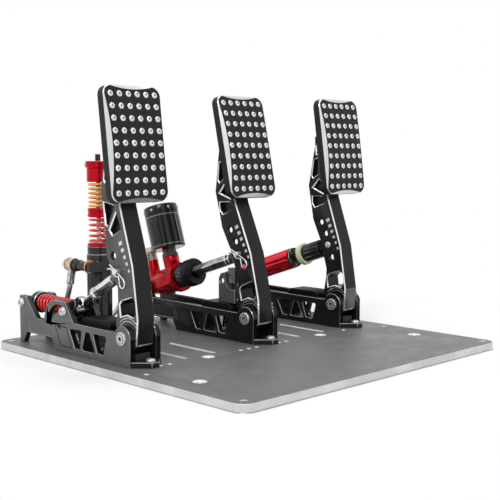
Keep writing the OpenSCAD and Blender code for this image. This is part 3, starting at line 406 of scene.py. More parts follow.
def smooth_path(points, steps=6):
    """Catmull-Rom curve through the points, steps to a stretch."""
    p = np.asarray(points, float)
    p = np.concatenate([2 * p[:1] - p[1:2], p, 2 * p[-1:] - p[-2:-1]])
    t = np.linspace(0, 1, steps, endpoint=False)[None, :, None]
    a, b, c, d = (p[i:len(p) - 3 + i, None] for i in range(4))
    curve = 0.5 * (2 * b + (c - a) * t + (2 * a - 5 * b + 4 * c - d) * t**2 + (3 * b - a - 3 * c + d) * t**3)
    return np.concatenate([curve.reshape(-1, p.shape[1]), p[-2:-1]])


def inset(loop, distance):
    """A closed flat loop moved inward along the mitre of its neighbours' normals, short at sharp turns."""
    before = loop - np.roll(loop, 1, 0)
    after = np.roll(loop, -1, 0) - loop
    before /= np.linalg.norm(before, axis=1, keepdims=True)
    after /= np.linalg.norm(after, axis=1, keepdims=True)
    normal = np.stack([-before[:, 1], before[:, 0]], 1) + np.stack([-after[:, 1], after[:, 0]], 1)
    normal /= np.linalg.norm(normal, axis=1, keepdims=True)
    lean = np.sum(normal * np.stack([-before[:, 1], before[:, 0]], 1), 1)
    return loop + normal * (distance / np.maximum(lean, MITRE_LEAST))[:, None]


def prism(loop, low, high, chamfer=0.3):
    """A flat loop of (y, z), wound anticlockwise, given a thickness along x with cut edges."""
    loop = np.asarray(loop, float)
    cut = inset(loop, chamfer)
    rows = [(cut, low), (loop, low + chamfer), (loop, high - chamfer), (cut, high)]
    return capped(np.stack([np.column_stack([np.full(len(ring), x), ring]) for ring, x in rows]))


def skin(node, materials, width=0.4, steps=1, least=38.0, sharp=35.0, choose=None, edge=None, plain=None):
    """A CAD node's copy, merged and cleaned, with its outward edges cut back by width, where they
    turn by more than least degrees. They take the second finish, or the one numbered edge, where
    -1 is that of the faces beside them. choose gives a face's finish number from its normal and
    middle, and plain says at which places a cut edge takes the first finish instead."""
    if edge is None:
        edge = 1 if len(materials) > 1 else -1
    mesh = frame["nodes"][node].data.copy()
    mesh.materials.clear()
    work = bmesh.new()
    work.from_mesh(mesh)
    bmesh.ops.remove_doubles(work, verts=work.verts, dist=WELD)
    bmesh.ops.dissolve_limit(work, angle_limit=math.radians(FLAT_TURN), verts=work.verts, edges=work.edges)
    for face in work.faces:
        face.material_index = choose(face.normal, face.calc_center_median() / MM) if choose else 0
    if width:
        turning = math.radians(least)
        outward = [e for e in work.edges if len(e.link_faces) == 2 and e.calc_face_angle_signed(0) > turning]
        bmesh.ops.bevel(work, geom=outward, offset=width * MM, segments=steps, profile=0.5, affect="EDGES",
                        clamp_overlap=False, material=edge)
        for face in work.faces:
            if plain and face.material_index == edge and plain(face.calc_center_median() / MM):
                face.material_index = 0
    work.to_mesh(mesh)
    work.free()
    return finished(mesh, node + "_skin", node, materials, True, sharp)


# Camera at the photograph's angle, and the floor

lens = bpy.data.cameras.new("camera")
lens.lens = 68.6
lens.sensor_width = 36.0
lens.clip_end = 60.0
camera = bpy.data.objects.new("camera", lens)
camera.location = (-0.7429, -0.7564, 0.2138)
camera.rotation_euler = (math.radians(90 - 5.53), 0, math.radians(-44.69))
bpy.context.scene.collection.objects.link(camera)
bpy.context.scene.camera = camera

# The hose comes early: its line is the one in the part's source
hose_points = np.array([
    (-138.242, 143, 64.271), (-138.711, 143, 61.308),
    (-138.5, 147, 52), (-138, 152, 42.5), (-136.8, 159.5, 33.5), (-134.5, 168.5, 25.5), (-130.5, 178, 18.5),
    (-122.5, 186, 12.5), (-108, 191, 8), (-84, 192, 6),
    (-60, 192, 7), (-44, 192, 12), (-35, 191, 22), (-32, 189, 34), (-33, 186, 48), (-34, 183, 61),
    (-31, 181, 72), (-24, 180, 80), (-16.5, 179.302, 82.164), (-13.5, 179.302, 82.164),
])
HOSE_D = 6.0
HOSE_SIDES = 20

# The braid's pattern repeats once in so many millimetres, and so many times round the hose
BRAID_REPEAT = 6
BRAID_ROUND = 3
hose_path = smooth_path(hose_points, 8) + (0, 0, PLATE_TOP)
travel = np.concatenate([[0], np.cumsum(np.linalg.norm(np.diff(hose_path, axis=0), axis=1))])
strands = np.stack(np.broadcast_arrays(
    travel[:, None] / BRAID_REPEAT, np.arange(HOSE_SIDES)[None] / HOSE_SIDES * BRAID_ROUND), -1)
hose = Shape().add(*capped(tube(hose_path, HOSE_D / 2, HOSE_SIDES, (0, 1, 0.3)))).made(
    "brake_hose_braid", "brake_hose", [BRAID], uv=strands.reshape(-1, 2))

FLOOR_HALF = 12.0
FLOOR_Z = -0.0003
floor_mesh = bpy.data.meshes.new("floor")
floor_corners = [(x * FLOOR_HALF, y * FLOOR_HALF, FLOOR_Z) for x, y in ((-1, -1), (1, -1), (1, 1), (-1, 1))]
floor_mesh.from_pydata(floor_corners, [], [(0, 1, 2, 3)])
floor = bpy.data.objects.new("floor", floor_mesh)
bpy.context.scene.collection.objects.link(floor)


# A face looks along an axis where that part of its unit normal is over the first of these, and
# is painted as lit from above where its z is over the second
FACING = 0.9
LIT = 0.2


# Base plate: grey faces, bright sides, and the walls in its holes painted white, painted light for the lit
# floor seen through them

PLATE_RIM = 185


def plate_finish(normal, middle):
    if abs(normal.z) > FACING:
        return 0
    return 1 if max(abs(middle.x), abs(middle.y)) > PLATE_RIM else 2


skin("base_plate", [PLATE_GREY, PLATE_SIDE, HOLE_WALL_PAINTED_LIGHT], width=0.7, choose=plate_finish)

# Side plates, feet and braces; the clutch's outer left face is painted paler, painted light as if lit from
# the left
for pedal in PEDAL_X:
    for side in ("left", "right"):
        if (pedal, side) != ("clutch", "left"):
            skin(f"{pedal}_{side}_plate", [FRAME_BLACK, SOFT_EDGE], width=0.45)
CLUTCH_LEFT = PEDAL_X["clutch"] - SIDE_OUT + 3
# The outer left face takes the paler finish, painted light from the left
skin("clutch_left_plate", [FRAME_BLACK, SOFT_EDGE, LEFT_FACE_PAINTED_LIGHT], width=0.45,
     choose=lambda normal, middle: 2 if normal.x < -FACING and middle.x < CLUTCH_LEFT else 0)
skin("feet", [FRAME_BLACK, SOFT_EDGE], width=0.6)
# The braces' faces take the painted shade black, for the shade between the side plates; their cut edges are
# frame black
skin("frame_braces", [PAINTED_SHADE_BLACK, FRAME_BLACK], width=0.5)

POCKET = np.array([(107.5, 6.5), (88, 6.5), (97, 27), (118, 27)], float)
POCKET_LINE = 0.4


def pockets(pedal):
    """The outline of a blind pocket behind the windows, a slanted frame of painted shade on both outer faces,
    for the pocket's shaded walls.
    """
    for side, face in (("left", -SIDE_OUT), ("right", SIDE_OUT)):
        shape = Shape()
        for start, stop in zip(POCKET, np.roll(POCKET, -1, 0)):
            across = np.array([stop[1] - start[1], start[0] - stop[0]])
            across *= POCKET_LINE / np.linalg.norm(stop - start)
            bar = [start - across, stop - across, stop + across, start + across]
            shape.add(*prism(bar, face - 0.1, face + 0.1, 0.05), 0, at_pedal(pedal))
        shape.made(f"{pedal}_{side}_pocket", f"{pedal}_{side}_plate", [PAINTED_SHADE_BLACK], covers=False)


for pedal in PEDAL_X:
    pockets(pedal)

# Arms
HOLE_REACH = 4.4
FACET_TOP = 56


def arm(pedal):
    """Bright cut edges, but none round the holes; the throttle's lower front facet is painted paler, a
    painted reflection, and the clutch's left face is painted paler, painted light from the left."""
    back = np.linalg.inv(at_pivot(pedal))

    def round_hole(middle):
        y, z = placed([middle], back)[0][1:]
        return any(math.hypot(y - a, z - b) < HOLE_REACH for a, b in ARM_HOLES[pedal])

    # Picks the faces painted paler: the throttle's lower front facet as a painted reflection, the clutch's
    # left face as painted light
    def facet(normal, middle):
        front = pedal == "throttle" and normal.y < -FACING and middle.z < FACET_TOP
        left = pedal == "clutch" and normal.x < -FACING and middle.x < PEDAL_X[pedal] - ARM_HALF + 0.5
        return 2 if front or left else 0

    # The third finish is painted light: the clutch's lit left face, the throttle's reflection on its lower
    # facet
    painted_light_finish = {"clutch": ARM_LEFT_PAINTED_LIGHT, "brake": ARM_BLACK, "throttle": FACET_PAINTED_REFLECTION}[pedal]
    skin(f"{pedal}_arm", [ARM_BLACK, CUT_EDGE, painted_light_finish], width=1.2, least=42, choose=facet, plain=round_hole)


for pedal in PEDAL_X:
    arm(pedal)


# Pads: a crowned block whose bright bevel is widest in the middle of each edge

CORNER_R = 10.0
SIDE_CUTS, CORNER_CUTS = 20, 8

# The bevel's width at the corners, how much wider it is amid a side and amid an end, and how far
# from the middle that swelling reaches
BEVEL = 0.9
SIDE_SWELL, END_SWELL = 2.7, 3.2
SIDE_REACH, END_REACH = 47.5, 26
FACE_SHARES = (0.985, 0.94, 0.86, 0.72, 0.56, 0.4, 0.24, 0.1)


def pad_outline():
    """A rounded rectangle of (x, z) with evenly cut sides, anticlockwise: a corner, then a side."""
    half = np.array([PAD_W / 2, PAD_H / 2]) - CORNER_R
    corners = [(1, 1), (-1, 1), (-1, -1), (1, -1)]
    turns = np.linspace(0, np.pi / 2, CORNER_CUTS + 2)[1:-1]
    share = np.linspace(0, 1, SIDE_CUTS, endpoint=False)[:, None]
    loop = []
    for k in range(4):
        centre = half * corners[k]
        following = half * corners[(k + 1) % 4]
        first, last = [np.array([np.cos(a), np.sin(a)]) for a in (k * np.pi / 2, (k + 1) * np.pi / 2)]
        angle = turns + k * np.pi / 2
        loop.append((centre + CORNER_R * first)[None])
        loop.append(centre + CORNER_R * np.stack([np.cos(angle), np.sin(angle)], 1))
        loop.append((centre + CORNER_R * last) * (1 - share) + (following + CORNER_R * last) * share)
    return np.concatenate(loop)


def crown(z):
    """Depth of the pad's front at a height: an arc of the crown's radius."""
    return CROWN_R - CROWN_DEPTH - np.sqrt(CROWN_R**2 - z**2)


def pad(pedal):
    """Rows of the same outline: back, side, the bevel's foot, the bevel's top, then the face drawn in."""
    outer = pad_outline()
    x, z = outer.T
    on_side = np.abs(x) > PAD_W / 2 - 0.01
    on_end = np.abs(z) > PAD_H / 2 - 0.01
    wide = BEVEL + np.where(on_side, SIDE_SWELL * np.clip(1 - (z / SIDE_REACH) ** 2, 0, 1), 0)
    wide += np.where(on_end, END_SWELL * np.clip(1 - (x / END_REACH) ** 2, 0, 1), 0)
    inner = inset(outer, wide)
    steep = 0.5 + 0.5 * (np.abs(x) * 2 / PAD_W) ** 8
    foot = crown(z) + 0.4 + steep * wide

    def row(loop, y):
        return np.stack([loop[:, 0], np.broadcast_to(y, len(loop)), loop[:, 1]], 1)

    rows = [row(inset(outer, 0.8), PAD_BACK), row(outer, PAD_BACK - 0.8), row(outer, foot),
            row(inner, crown(inner[:, 1]))]
    rows += [row(inner * share, crown(inner[:, 1] * share)) for share in FACE_SHARES]
    rows = np.stack(rows)[:, ::-1]
    numbers = np.repeat([0, 0, 1] + [0] * (len(rows) - 4), rows.shape[1]).tolist() + [0, 0]
    shape = Shape().add(*capped(rows), numbers, at_pad(pedal))
    shape.made(f"{pedal}_pad_plate", f"{pedal}_pad", [PAD_BLACK, PAD_EDGE], sharp=20)


STUD_COLUMNS, STUD_ROWS = 6, 9
STUD_PITCH = (10.8, 12.1)
STUD_ROUND = 16
STUD_PROFILE = [(3.15, -0.3), (3.15, 0.25), (2.95, 0.62), (2.5, 0.92), (1.8, 1.12), (1.15, 1.18),
                (0.95, 0.75), (0.4, 0.6)]


def studs(pedal):
    """One domed stud whose dimple is painted dark as shade, set square to the crown at every place of the
    grid.
    """
    points, faces = capped(lathe(STUD_PROFILE, STUD_ROUND))
    # The dimple's rings and floor take the steel painted dark as shade
    numbers = [0] * (5 * STUD_ROUND) + [1] * (2 * STUD_ROUND) + [0, 1]
    shape = Shape()
    for i in range(STUD_COLUMNS):
        for k in range(STUD_ROWS):
            x = (i - (STUD_COLUMNS - 1) / 2) * STUD_PITCH[0]
            z = (k - (STUD_ROWS - 1) / 2) * STUD_PITCH[1]
            tilt = math.degrees(math.asin(z / CROWN_R))
            crown_axis = at_pad(pedal) @ moved(x, CROWN_R - CROWN_DEPTH, 0) @ turned("X", 90 - tilt)
            shape.add(points, faces, numbers, crown_axis @ moved(0, 0, CROWN_R + 0.02))
    node = f"{pedal}_pad_studs"
    shape.made(node + "_domed", node, [STUD, STEEL_PAINTED_SHADE], sharp=50)


for pedal in PEDAL_X:
    pad(pedal)
    studs(pedal)


# Springs: a wire wound round z, its end turns lying close

# Points to a turn and round the wire, the turns at each end over which the climb slows down, and
# the share of the full climb that is left at the very ends
COIL_STEPS, WIRE_SIDES = 28, 10
END_TURNS = 0.9
END_CLIMB = 0.28


def coil(name, node, material, diameter, wire, length, turns, matrix):
    """Height rises slowly in the first and last turn and evenly between; the wire's rings stand
    square to the wind."""
    steps = int(turns * COIL_STEPS)
    t = np.linspace(0, 1, steps + 1)
    closed_share = END_TURNS / turns
    ease = np.interp(t, [0, closed_share, 1 - closed_share, 1], [0, 1, 1, 0])
    rate = END_CLIMB + (1 - END_CLIMB) * ease
    climb = np.concatenate([[0], np.cumsum((rate[1:] + rate[:-1]) / 2)])
    height = wire / 2 + (length - wire) * climb / climb[-1]
    angle = 2 * np.pi * turns * t
    radius = (diameter - wire) / 2
    path = np.stack([radius * np.cos(angle), radius * np.sin(angle), height], 1)
    shape = Shape().add(*capped(tube(path, wire / 2, WIRE_SIDES)), 0, matrix)
    return shape.made(name, node, [material], sharp=60)


SPRING_FRONT, SPRING_REAR = 111.001, 171.5
SPRING_Z = (SPRING_BOLT[1] + REAR_BOLT[1]) / 2
at_spring = at_pedal("clutch") @ moved(0, SPRING_FRONT, SPRING_Z) @ turned("X", -90)
clutch_coil = coil("clutch_coil", "clutch_spring", RED_PAINT, 19.4, 2.9, SPRING_REAR - SPRING_FRONT, 10,
                   at_spring)
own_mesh(clutch_coil)

# Heights on the column: the gland's top, the collar's two faces and the cap's foot, and how tall
# the cap is in the part's source
GLAND_TOP, COLLAR_Z, GOLD_FOOT, CAP_Z = 111.0, 140.0, 150.0, 179.0
CAP_TALL = 23.5
red_coil = coil("red_coil", "red_spring", RED_PAINT, 23.0, 2.8, COLLAR_Z - GLAND_TOP, 5,
                AT_SLAVE @ moved(0, 0, GLAND_TOP))
gold_coil = coil("gold_coil", "gold_spring", GOLD_PAINT, 23.0, 2.8, CAP_Z - GOLD_FOOT, 6,
                 AT_SLAVE @ moved(0, 0, GOLD_FOOT))


# The red and gold springs are taken off their bodies, their places baked into their meshes; they are not made
# to bend.
# The gold spring's foot moves half as far as its top, so its listed span starts as far below the foot as the
# top is above it; the loop doesn't use the moving parts or spans
for soft, mover, low, high in ((red_coil, "slave_collar", GLAND_TOP, COLLAR_Z),
                               (gold_coil, "slave_piston_rod", 2 * GOLD_FOOT - CAP_Z, CAP_Z)):
    soft.parent = None
    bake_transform(soft)


# Small shared details

SCREW_ROUND = 48


def dimple(shape, matrix, radius, numbers=(0, 1)):
    """A blind hole's look: a raised rim and a sunk floor, standing on z = 0."""
    around = 20
    profile = [(radius + 0.35, -0.3), (radius + 0.35, 0.06), (radius, 0.12), (radius - 0.1, 0.05),
               (radius * 0.5, 0.0)]
    marks = [numbers[0]] * (3 * around) + [numbers[1]] * around + [numbers[0], numbers[1]]
    shape.add(*capped(lathe(profile, around)), marks, matrix)


def six_sided_from(first):
    """For lathe: makes the rings from this number on six-sided."""
    def shape(radius, height, angle):
        hexagon = np.cos(np.pi / 6) / np.cos((angle + np.pi / 6) % (np.pi / 3) - np.pi / 6)
        return np.where(np.arange(len(radius))[:, None] >= first, radius * hexagon, radius)

    return shape


def socket_screw(radius, height, socket, depth):
    """A domed head with a six-sided socket."""
    rings = [(radius, 0), (radius, height * 0.3), (radius * 0.93, height * 0.62),
             (radius * 0.75, height * 0.9), (radius * 0.58, height), (socket, height),
             (socket, height - depth), (socket * 0.2, height - depth)]
    return capped(lathe(rings, SCREW_ROUND, six_sided_from(5)))


def flat_cap():
    """A flat cap with a ring groove round a six-sided socket; the groove and the socket are painted dark as
    shade.
    """
    rings = [(7.0, 0), (7.0, 1.7), (6.5, 2.5), (5.3, 2.7), (5.1, 2.3), (4.5, 2.3), (4.3, 2.8), (2.6, 2.9),
             (2.6, 1.0), (0.5, 1.0)]
    # The groove's and the socket's rings are painted dark as shade
    dark = np.isin(np.arange(len(rings) - 1), (3, 4, 5, 7, 8))
    numbers = np.repeat(dark, SCREW_ROUND).astype(int).tolist() + [0, 1]
    return capped(lathe(rings, SCREW_ROUND, six_sided_from(7))), numbers


def heads(name, node, places, head, numbers=0):
    """The same screw head at several places, all on one body."""
    shape = Shape()
    for at in places:
        shape.add(*head, numbers, at)
    return shape.made(name, node, [BOLT, STEEL_PAINTED_SHADE], sharp=32)


def on_sides(pedal, point, out):
    """Frames on both outer faces of a pedal's side plates, z pointing outward."""
    return [at_pedal(pedal) @ moved(side * out, *point) @ turned("Y", side * 90) for side in (-1, 1)]


pivot_places = [at for pedal in PEDAL_X for at in on_sides(pedal, (0, PIVOT_H), SIDE_OUT)]
foot_places = [at_pedal(pedal) @ moved(0, y, 6.0) for pedal in PEDAL_X for y in (-20.5, 60, 104)]
heads("pivot_heads", "pivot_screws", pivot_places, *flat_cap())
heads("nose_heads", "foot_screws", foot_places, socket_screw(4.75, 2.7, 1.5, 1.6))
skin("pivot_axles", [BOLT], width=0.3)

# Of the cross bolts only the hidden dowel, below this height, is black: painted shade that keeps it from
# showing
DOWEL_TOP = 45
skin("cross_bolts", [BOLT, FRAME_BLACK], width=0.5, steps=3, sharp=50, edge=-1,
     choose=lambda normal, middle: 1 if middle.z < DOWEL_TOP else 0)
skin("spring_bolt", [BOLT], width=0.5, steps=3, sharp=50)


# Marks on the arms' sides: a row of shrinking bars, and the stepped arcs over the pivot

# The row's upper and lower end, as (y, z) from the pivot, and the number of bars
MARKS = {"clutch": ((12.1, 93.3), (-1.1, 66.7), 5), "brake": ((12.7, 102.0), (-2.7, 68.0), 6),
         "throttle": ((12.7, 102.0), (-2.7, 68.0), 6)}
# A bar's size at the upper end, and what it has lost at the lower one
MARK_SIZE, MARK_LOSS = np.array([5.6, 4.0]), np.array([3.0, 1.0])
ARC_PROFILE = [(-0.7, -0.2), (-0.1, 0.55), (0.35, 0.55), (0.6, -0.2)]


def arm_marks(pedal):
    """The bars on both faces of the arm, each a flat prism square to the row."""
    top, low, count = MARKS[pedal]
    lean = math.atan2(top[1] - low[1], top[0] - low[0]) - np.pi / 2
    turn = np.array([[math.cos(lean), math.sin(lean)], [-math.sin(lean), math.cos(lean)]])
    shape = Shape()
    for share in np.linspace(0, 1, count):
        middle = np.array(top) * (1 - share) + np.array(low) * share
        half = (MARK_SIZE - MARK_LOSS * share) / 2
        block = np.array([(-1, -1), (1, -1), (1, 1), (-1, 1)]) * half @ turn + middle
        for low_x, high_x in ((-ARM_HALF - 0.12, -ARM_HALF + 0.2), (ARM_HALF - 0.2, ARM_HALF + 0.12)):
            shape.add(*prism(block, low_x, high_x, 0.08), 0, at_pivot(pedal))
    shape.made(f"{pedal}_marks", f"{pedal}_arm", [MARK_WHITE], covers=False)


def arcs(pedal):
    """Two ridges swept round the pivot on both faces of the arm."""
    shape = Shape()
    for radius, first, last in ((16.3, 32, 148), (19.3, 42, 138)):
        angle = np.radians(np.linspace(first, last, 28))
        for side in (-1, 1):
            rows = []
            for out, x in ARC_PROFILE:
                r = radius + out
                face = np.full(len(angle), side * (ARM_HALF + x))
                rows.append(np.stack([face, r * np.cos(angle), r * np.sin(angle)], 1))
            shape.add(*capped(np.stack(rows, 1)), 0, at_pivot(pedal))
    shape.made(f"{pedal}_arcs", f"{pedal}_arm", [CUT_EDGE], covers=False)


for pedal in PEDAL_X:
    arm_marks(pedal)
    arcs(pedal)

# Pins, forks, links and their clips
for pedal in PEDAL_X:
    skin(f"{pedal}_pin", [STUD], width=0.7, steps=2)

FORK_REACH = 12.5


def link_painted_light(normal, middle):
    """The fork round the arm's pin is dark; beyond it the link is painted bright above and dark below,
    painted light from above and painted shade below.
    """
    back = np.linalg.inv(at_pivot("clutch") @ moved(0, *ARM_PIN["clutch"]))
    if abs(placed([middle], back)[0][2]) < FORK_REACH:
        return 0
    return 2 if normal.z > LIT else 3


skin("clutch_link", [FORK_PAINTED_REFLECTIONS, CUT_EDGE, STUD, FORK_PAINTED_REFLECTIONS], width=0.9, choose=link_painted_light)
skin("link_nut", [LINK_PAINTED_REFLECTIONS, CUT_EDGE], width=0.6)
skin("brake_fork", [FORK_PAINTED_REFLECTIONS, CUT_EDGE], width=0.9)
skin("damper_rod", [FORK_PAINTED_REFLECTIONS, CUT_EDGE], width=0.6)
# The push rod's upper faces take the bright bar finish and its lower ones the dark fork finish: painted light
# from above, painted shade below
skin("brake_pushrod", [BAR_PAINTED_REFLECTIONS, CUT_EDGE, FORK_PAINTED_REFLECTIONS], width=0.6,
     choose=lambda normal, middle: 0 if normal.z > LIT else 2)

# A clip's line from the pin, as (y, z), its turn and its distance from the arm's face, and the
# stretch of its smoothed line that the brake's red sleeve covers
CLIP_ROUTE = [(-12, 0), (0, 0), (11, 0), (14.5, 0.6), (17.6, 2.6), (18.6, 6), (16.4, 9), (12.8, 9),
              (10.2, 6.4), (8, 3.6), (6, 2.6), (4.2, 3.1), (2.4, 4.4), (0, 4.9), (-2.4, 4.4), (-4.2, 3),
              (-6, 2.3), (-8.2, 2.6), (-10.5, 3.9), (-12.5, 5.7)]
CLIP_TURN = 30
CLIP_OUT = 2.6
SLEEVE = slice(33, 41)


def clip(pedal, tipped):
    """A round wire along the clip's route; tipped adds a short red sleeve at its loop's end."""
    node = f"{pedal}_clip"
    at = at_pivot(pedal) @ moved(-ARM_HALF - CLIP_OUT, *ARM_PIN[pedal]) @ turned("X", CLIP_TURN)
    route = smooth_path([(0, -y, -z) for y, z in CLIP_ROUTE])
    shape = Shape().add(*capped(tube(route, 0.8, 10, (1, 0, 0))), 0, at)
    if tipped:
        shape.add(*capped(tube(route[SLEEVE], 1.2, 12, (1, 0, 0))), 1, at)
    shape.made(node + "_wire", node, [CUT_EDGE, RED_PAINT], sharp=60)


clip("clutch", False)
clip("brake", True)

# Rocker, spring seats and sensors
skin("clutch_rocker", [FRAME_BLACK, SOFT_EDGE], width=0.4)
front_seat = skin("spring_front_seat", [FRAME_BLACK], width=0.4)

# The seat's guide inside the spring is drawn thinner, which leaves it room as its seat swings
GUIDE_REACH = 6
GUIDE_CUT = 0.3
for vertex in front_seat.data.vertices:
    out = np.array(vertex.co) / MM - placed([(0, 0, SPRING_Z)], at_pedal("clutch"))[0]
    if out[1] > SPRING_FRONT - 0.05 and math.hypot(out[0], out[2]) < GUIDE_REACH:
        vertex.co.x -= out[0] * GUIDE_CUT * MM
        vertex.co.z -= out[2] * GUIDE_CUT * MM
skin("spring_rear_seat", [GLOSS_BLACK, RIM_LINE], width=0.8)
skin("sensor_bracket", [BRACKET, SOFT_EDGE], width=0.5)


# The sensor on the bracket has its left face, at this x and above this height, painted paler as painted light
SENSOR_X = 2.5
SENSOR_FOOT = 60


def sensor_painted_light(normal, middle):
    return 1 if normal.x < -FACING and abs(middle.x - SENSOR_X) < 0.5 and middle.z > SENSOR_FOOT else 0


skin("sensors", [PLASTIC, SENSOR_FACE_PAINTED_LIGHT], width=0, choose=sensor_painted_light)
skin("master_piston", [LINK_PAINTED_REFLECTIONS], width=0.3)

# Master cylinder, pressure disc and reservoir
skin("master_cylinder", [RED_ANODISED], width=0.7, steps=3, sharp=40)


def turned_ring(profile, around, at, numbers=0):
    """A profile turned round z and closed on itself, open in the middle, as the start of a shape."""
    rows = lathe(profile, around)
    rows = np.concatenate([rows, rows[:1]])
    marks = np.repeat(np.broadcast_to(numbers, len(profile)), around)
    return Shape().add(rows.reshape(-1, 3), strip(rows), marks, at)


def pressure_disc():
    """A ring with two rows of small holes, then a thick disc, open for the push rod."""
    profile = [(7.6, 57.05), (14, 57.05), (14, 58), (13.6, 58.5), (13.6, 60), (14, 60.5), (14, 71.5),
               (13.6, 72.05), (15.9, 72.05), (16.5, 72.7), (16.5, 83.2), (15.6, 84.9), (9.4, 84.9),
               (9.0, 84.3), (8.4, 84.3), (8.0, 84.9), (7.6, 84.6)]
    shape = turned_ring(profile, 72, AT_MASTER)
    for k in range(18):
        for z, shift in ((63.5, 0), (68.2, 10)):
            spot = AT_MASTER @ turned("Z", 20 * k + shift) @ moved(14, 0, z) @ turned("Y", 90)
            dimple(shape, spot, 0.9, (2, 1))
    shape.made("pressure_disc_turned", "pressure_disc", [FRAME_BLACK, GLOSS_BLACK, RIM_LINE], sharp=30)


# The reservoir's turret along the master cylinder, the heights of the neck and the can on it, and
# the can's upright grooves, which come in pairs
TURRET = 44.0
NECK_FOOT, NECK_TOP = 28, 38.0
CAN_TALL = 44.0
CAN_GROOVES = np.radians([10, 26, 100, 116, 190, 206, 280, 296])
CAN_PROFILE = [(20.2, 0), (21, 0.8), (21, 3.2), (20.7, 3.5), (20.7, 3.9), (21, 4.2), (21, 8), (21, 20),
               (21, 32), (21, 40.0), (20.7, 40.3), (20.7, 40.7), (21, 41.0), (20.9, CAN_TALL - 0.2)]


def reservoir():
    """A can with ring grooves and pairs of upright grooves, whose faces are painted paler as highlights along
    them.
    """
    stem = AT_MASTER @ up_from(TURRET)
    at = stem @ moved(0, 0, NECK_TOP)
    around = 360
    angle = np.linspace(0, 2 * np.pi, around, endpoint=False)
    off = np.abs((angle[:, None] - CAN_GROOVES + np.pi) % (2 * np.pi) - np.pi)
    near = np.min(off, 1) < np.radians(0.9)

    def grooved(radius, z, turn):
        return radius - 0.35 * (near & (z > 3) & (z < 41.2))

    z = np.array([height for radius, height in CAN_PROFILE[:-1]])[:, None]
    # The grooves' faces take the paler rim line: a painted highlight
    ring = (z >= 3) & (z < 4) | (z >= 40) & (z < 40.9)
    lines = ring | near & (z > 3) & (z < 40.9)
    numbers = lines.ravel().astype(int).tolist() + [0, 0]
    can = Shape().add(*capped(lathe(CAN_PROFILE, around, grooved)), numbers, at)
    can.made("reservoir_can", "reservoir", [GLOSS_BLACK, RIM_LINE], sharp=40)
    profile = [(20.2, 0), (20.9, 0.5), (21, 1.0), (21, 8.0), (20.6, 9.2), (19.6, 9.9), (18.2, 10.0),
               (17.6, 9.4), (4, 9.4)]
    lid = Shape().add(*capped(lathe(profile, 96)), 0, at @ moved(0, 0, CAN_TALL))
    screw = socket_screw(1.5, 0.9, 0.7, 0.5)
    for k in range(6):
        spot = at @ turned("Z", 60 * k + 18) @ moved(20.9, 0, CAN_TALL + 4.5) @ turned("Y", 90)
        lid.add(*screw, 1, spot)
    lid.made("reservoir_lid", "reservoir_cap", [GLOSS_BLACK, BOLT], sharp=32)
    neck = [(9.4, 0), (10, 0.5), (10, 3.6), (9.4, 4), (8.5, 4), (8.5, 10)]
    foot = Shape().add(*capped(lathe(neck, 48)), 0, stem @ moved(0, 0, NECK_FOOT))
    plug = [(2.6, -1.2), (3.0, -0.8), (3.0, 1.6), (2.6, 2.3)]
    plug_place = stem @ moved(0, 0, NECK_TOP - 2.2) @ turned("Z", 205) @ moved(12.5, 0, 0)
    foot.add(*capped(lathe(plug, 24)), 1, plug_place)
    foot.made("reservoir_foot", "reservoir_neck", [NECK_OLIVE, RED_ANODISED], sharp=32)


pressure_disc()
reservoir()
skin("banjo_fittings", [LINK_PAINTED_REFLECTIONS, CUT_EDGE], width=0.5)

# The column's side port, both banjo bolts' reach and washers as distances along the bolt, and the
# bolts' frames, z pointing outward from the face where the fitting's ring begins
PORT_X, PORT_Z = 19.8, 86.0
BOLT_REACH = (-2, 16)
WASHERS = ((-1.55, 0.05), (8.95, 10.55))
BANJO_BOLTS = [AT_SLAVE @ moved(-PORT_X, 19.5, PORT_Z) @ turned("X", -90),
               AT_MASTER @ up_from(8) @ moved(0, 0, 32.5)]


def washer_finish(normal, middle):
    """Gold on the washers, steel on the bolt, told apart by the distance along each bolt."""
    for at in BANJO_BOLTS:
        x, y, z = placed([middle], np.linalg.inv(at))[0]
        if math.hypot(x, y) < 9 and BOLT_REACH[0] < z < BOLT_REACH[1]:
            return 1 if any(low < z < high for low, high in WASHERS) else 0
    return 0


skin("banjo_bolts", [BOLT, WASHER], width=0, choose=washer_finish)


# Column

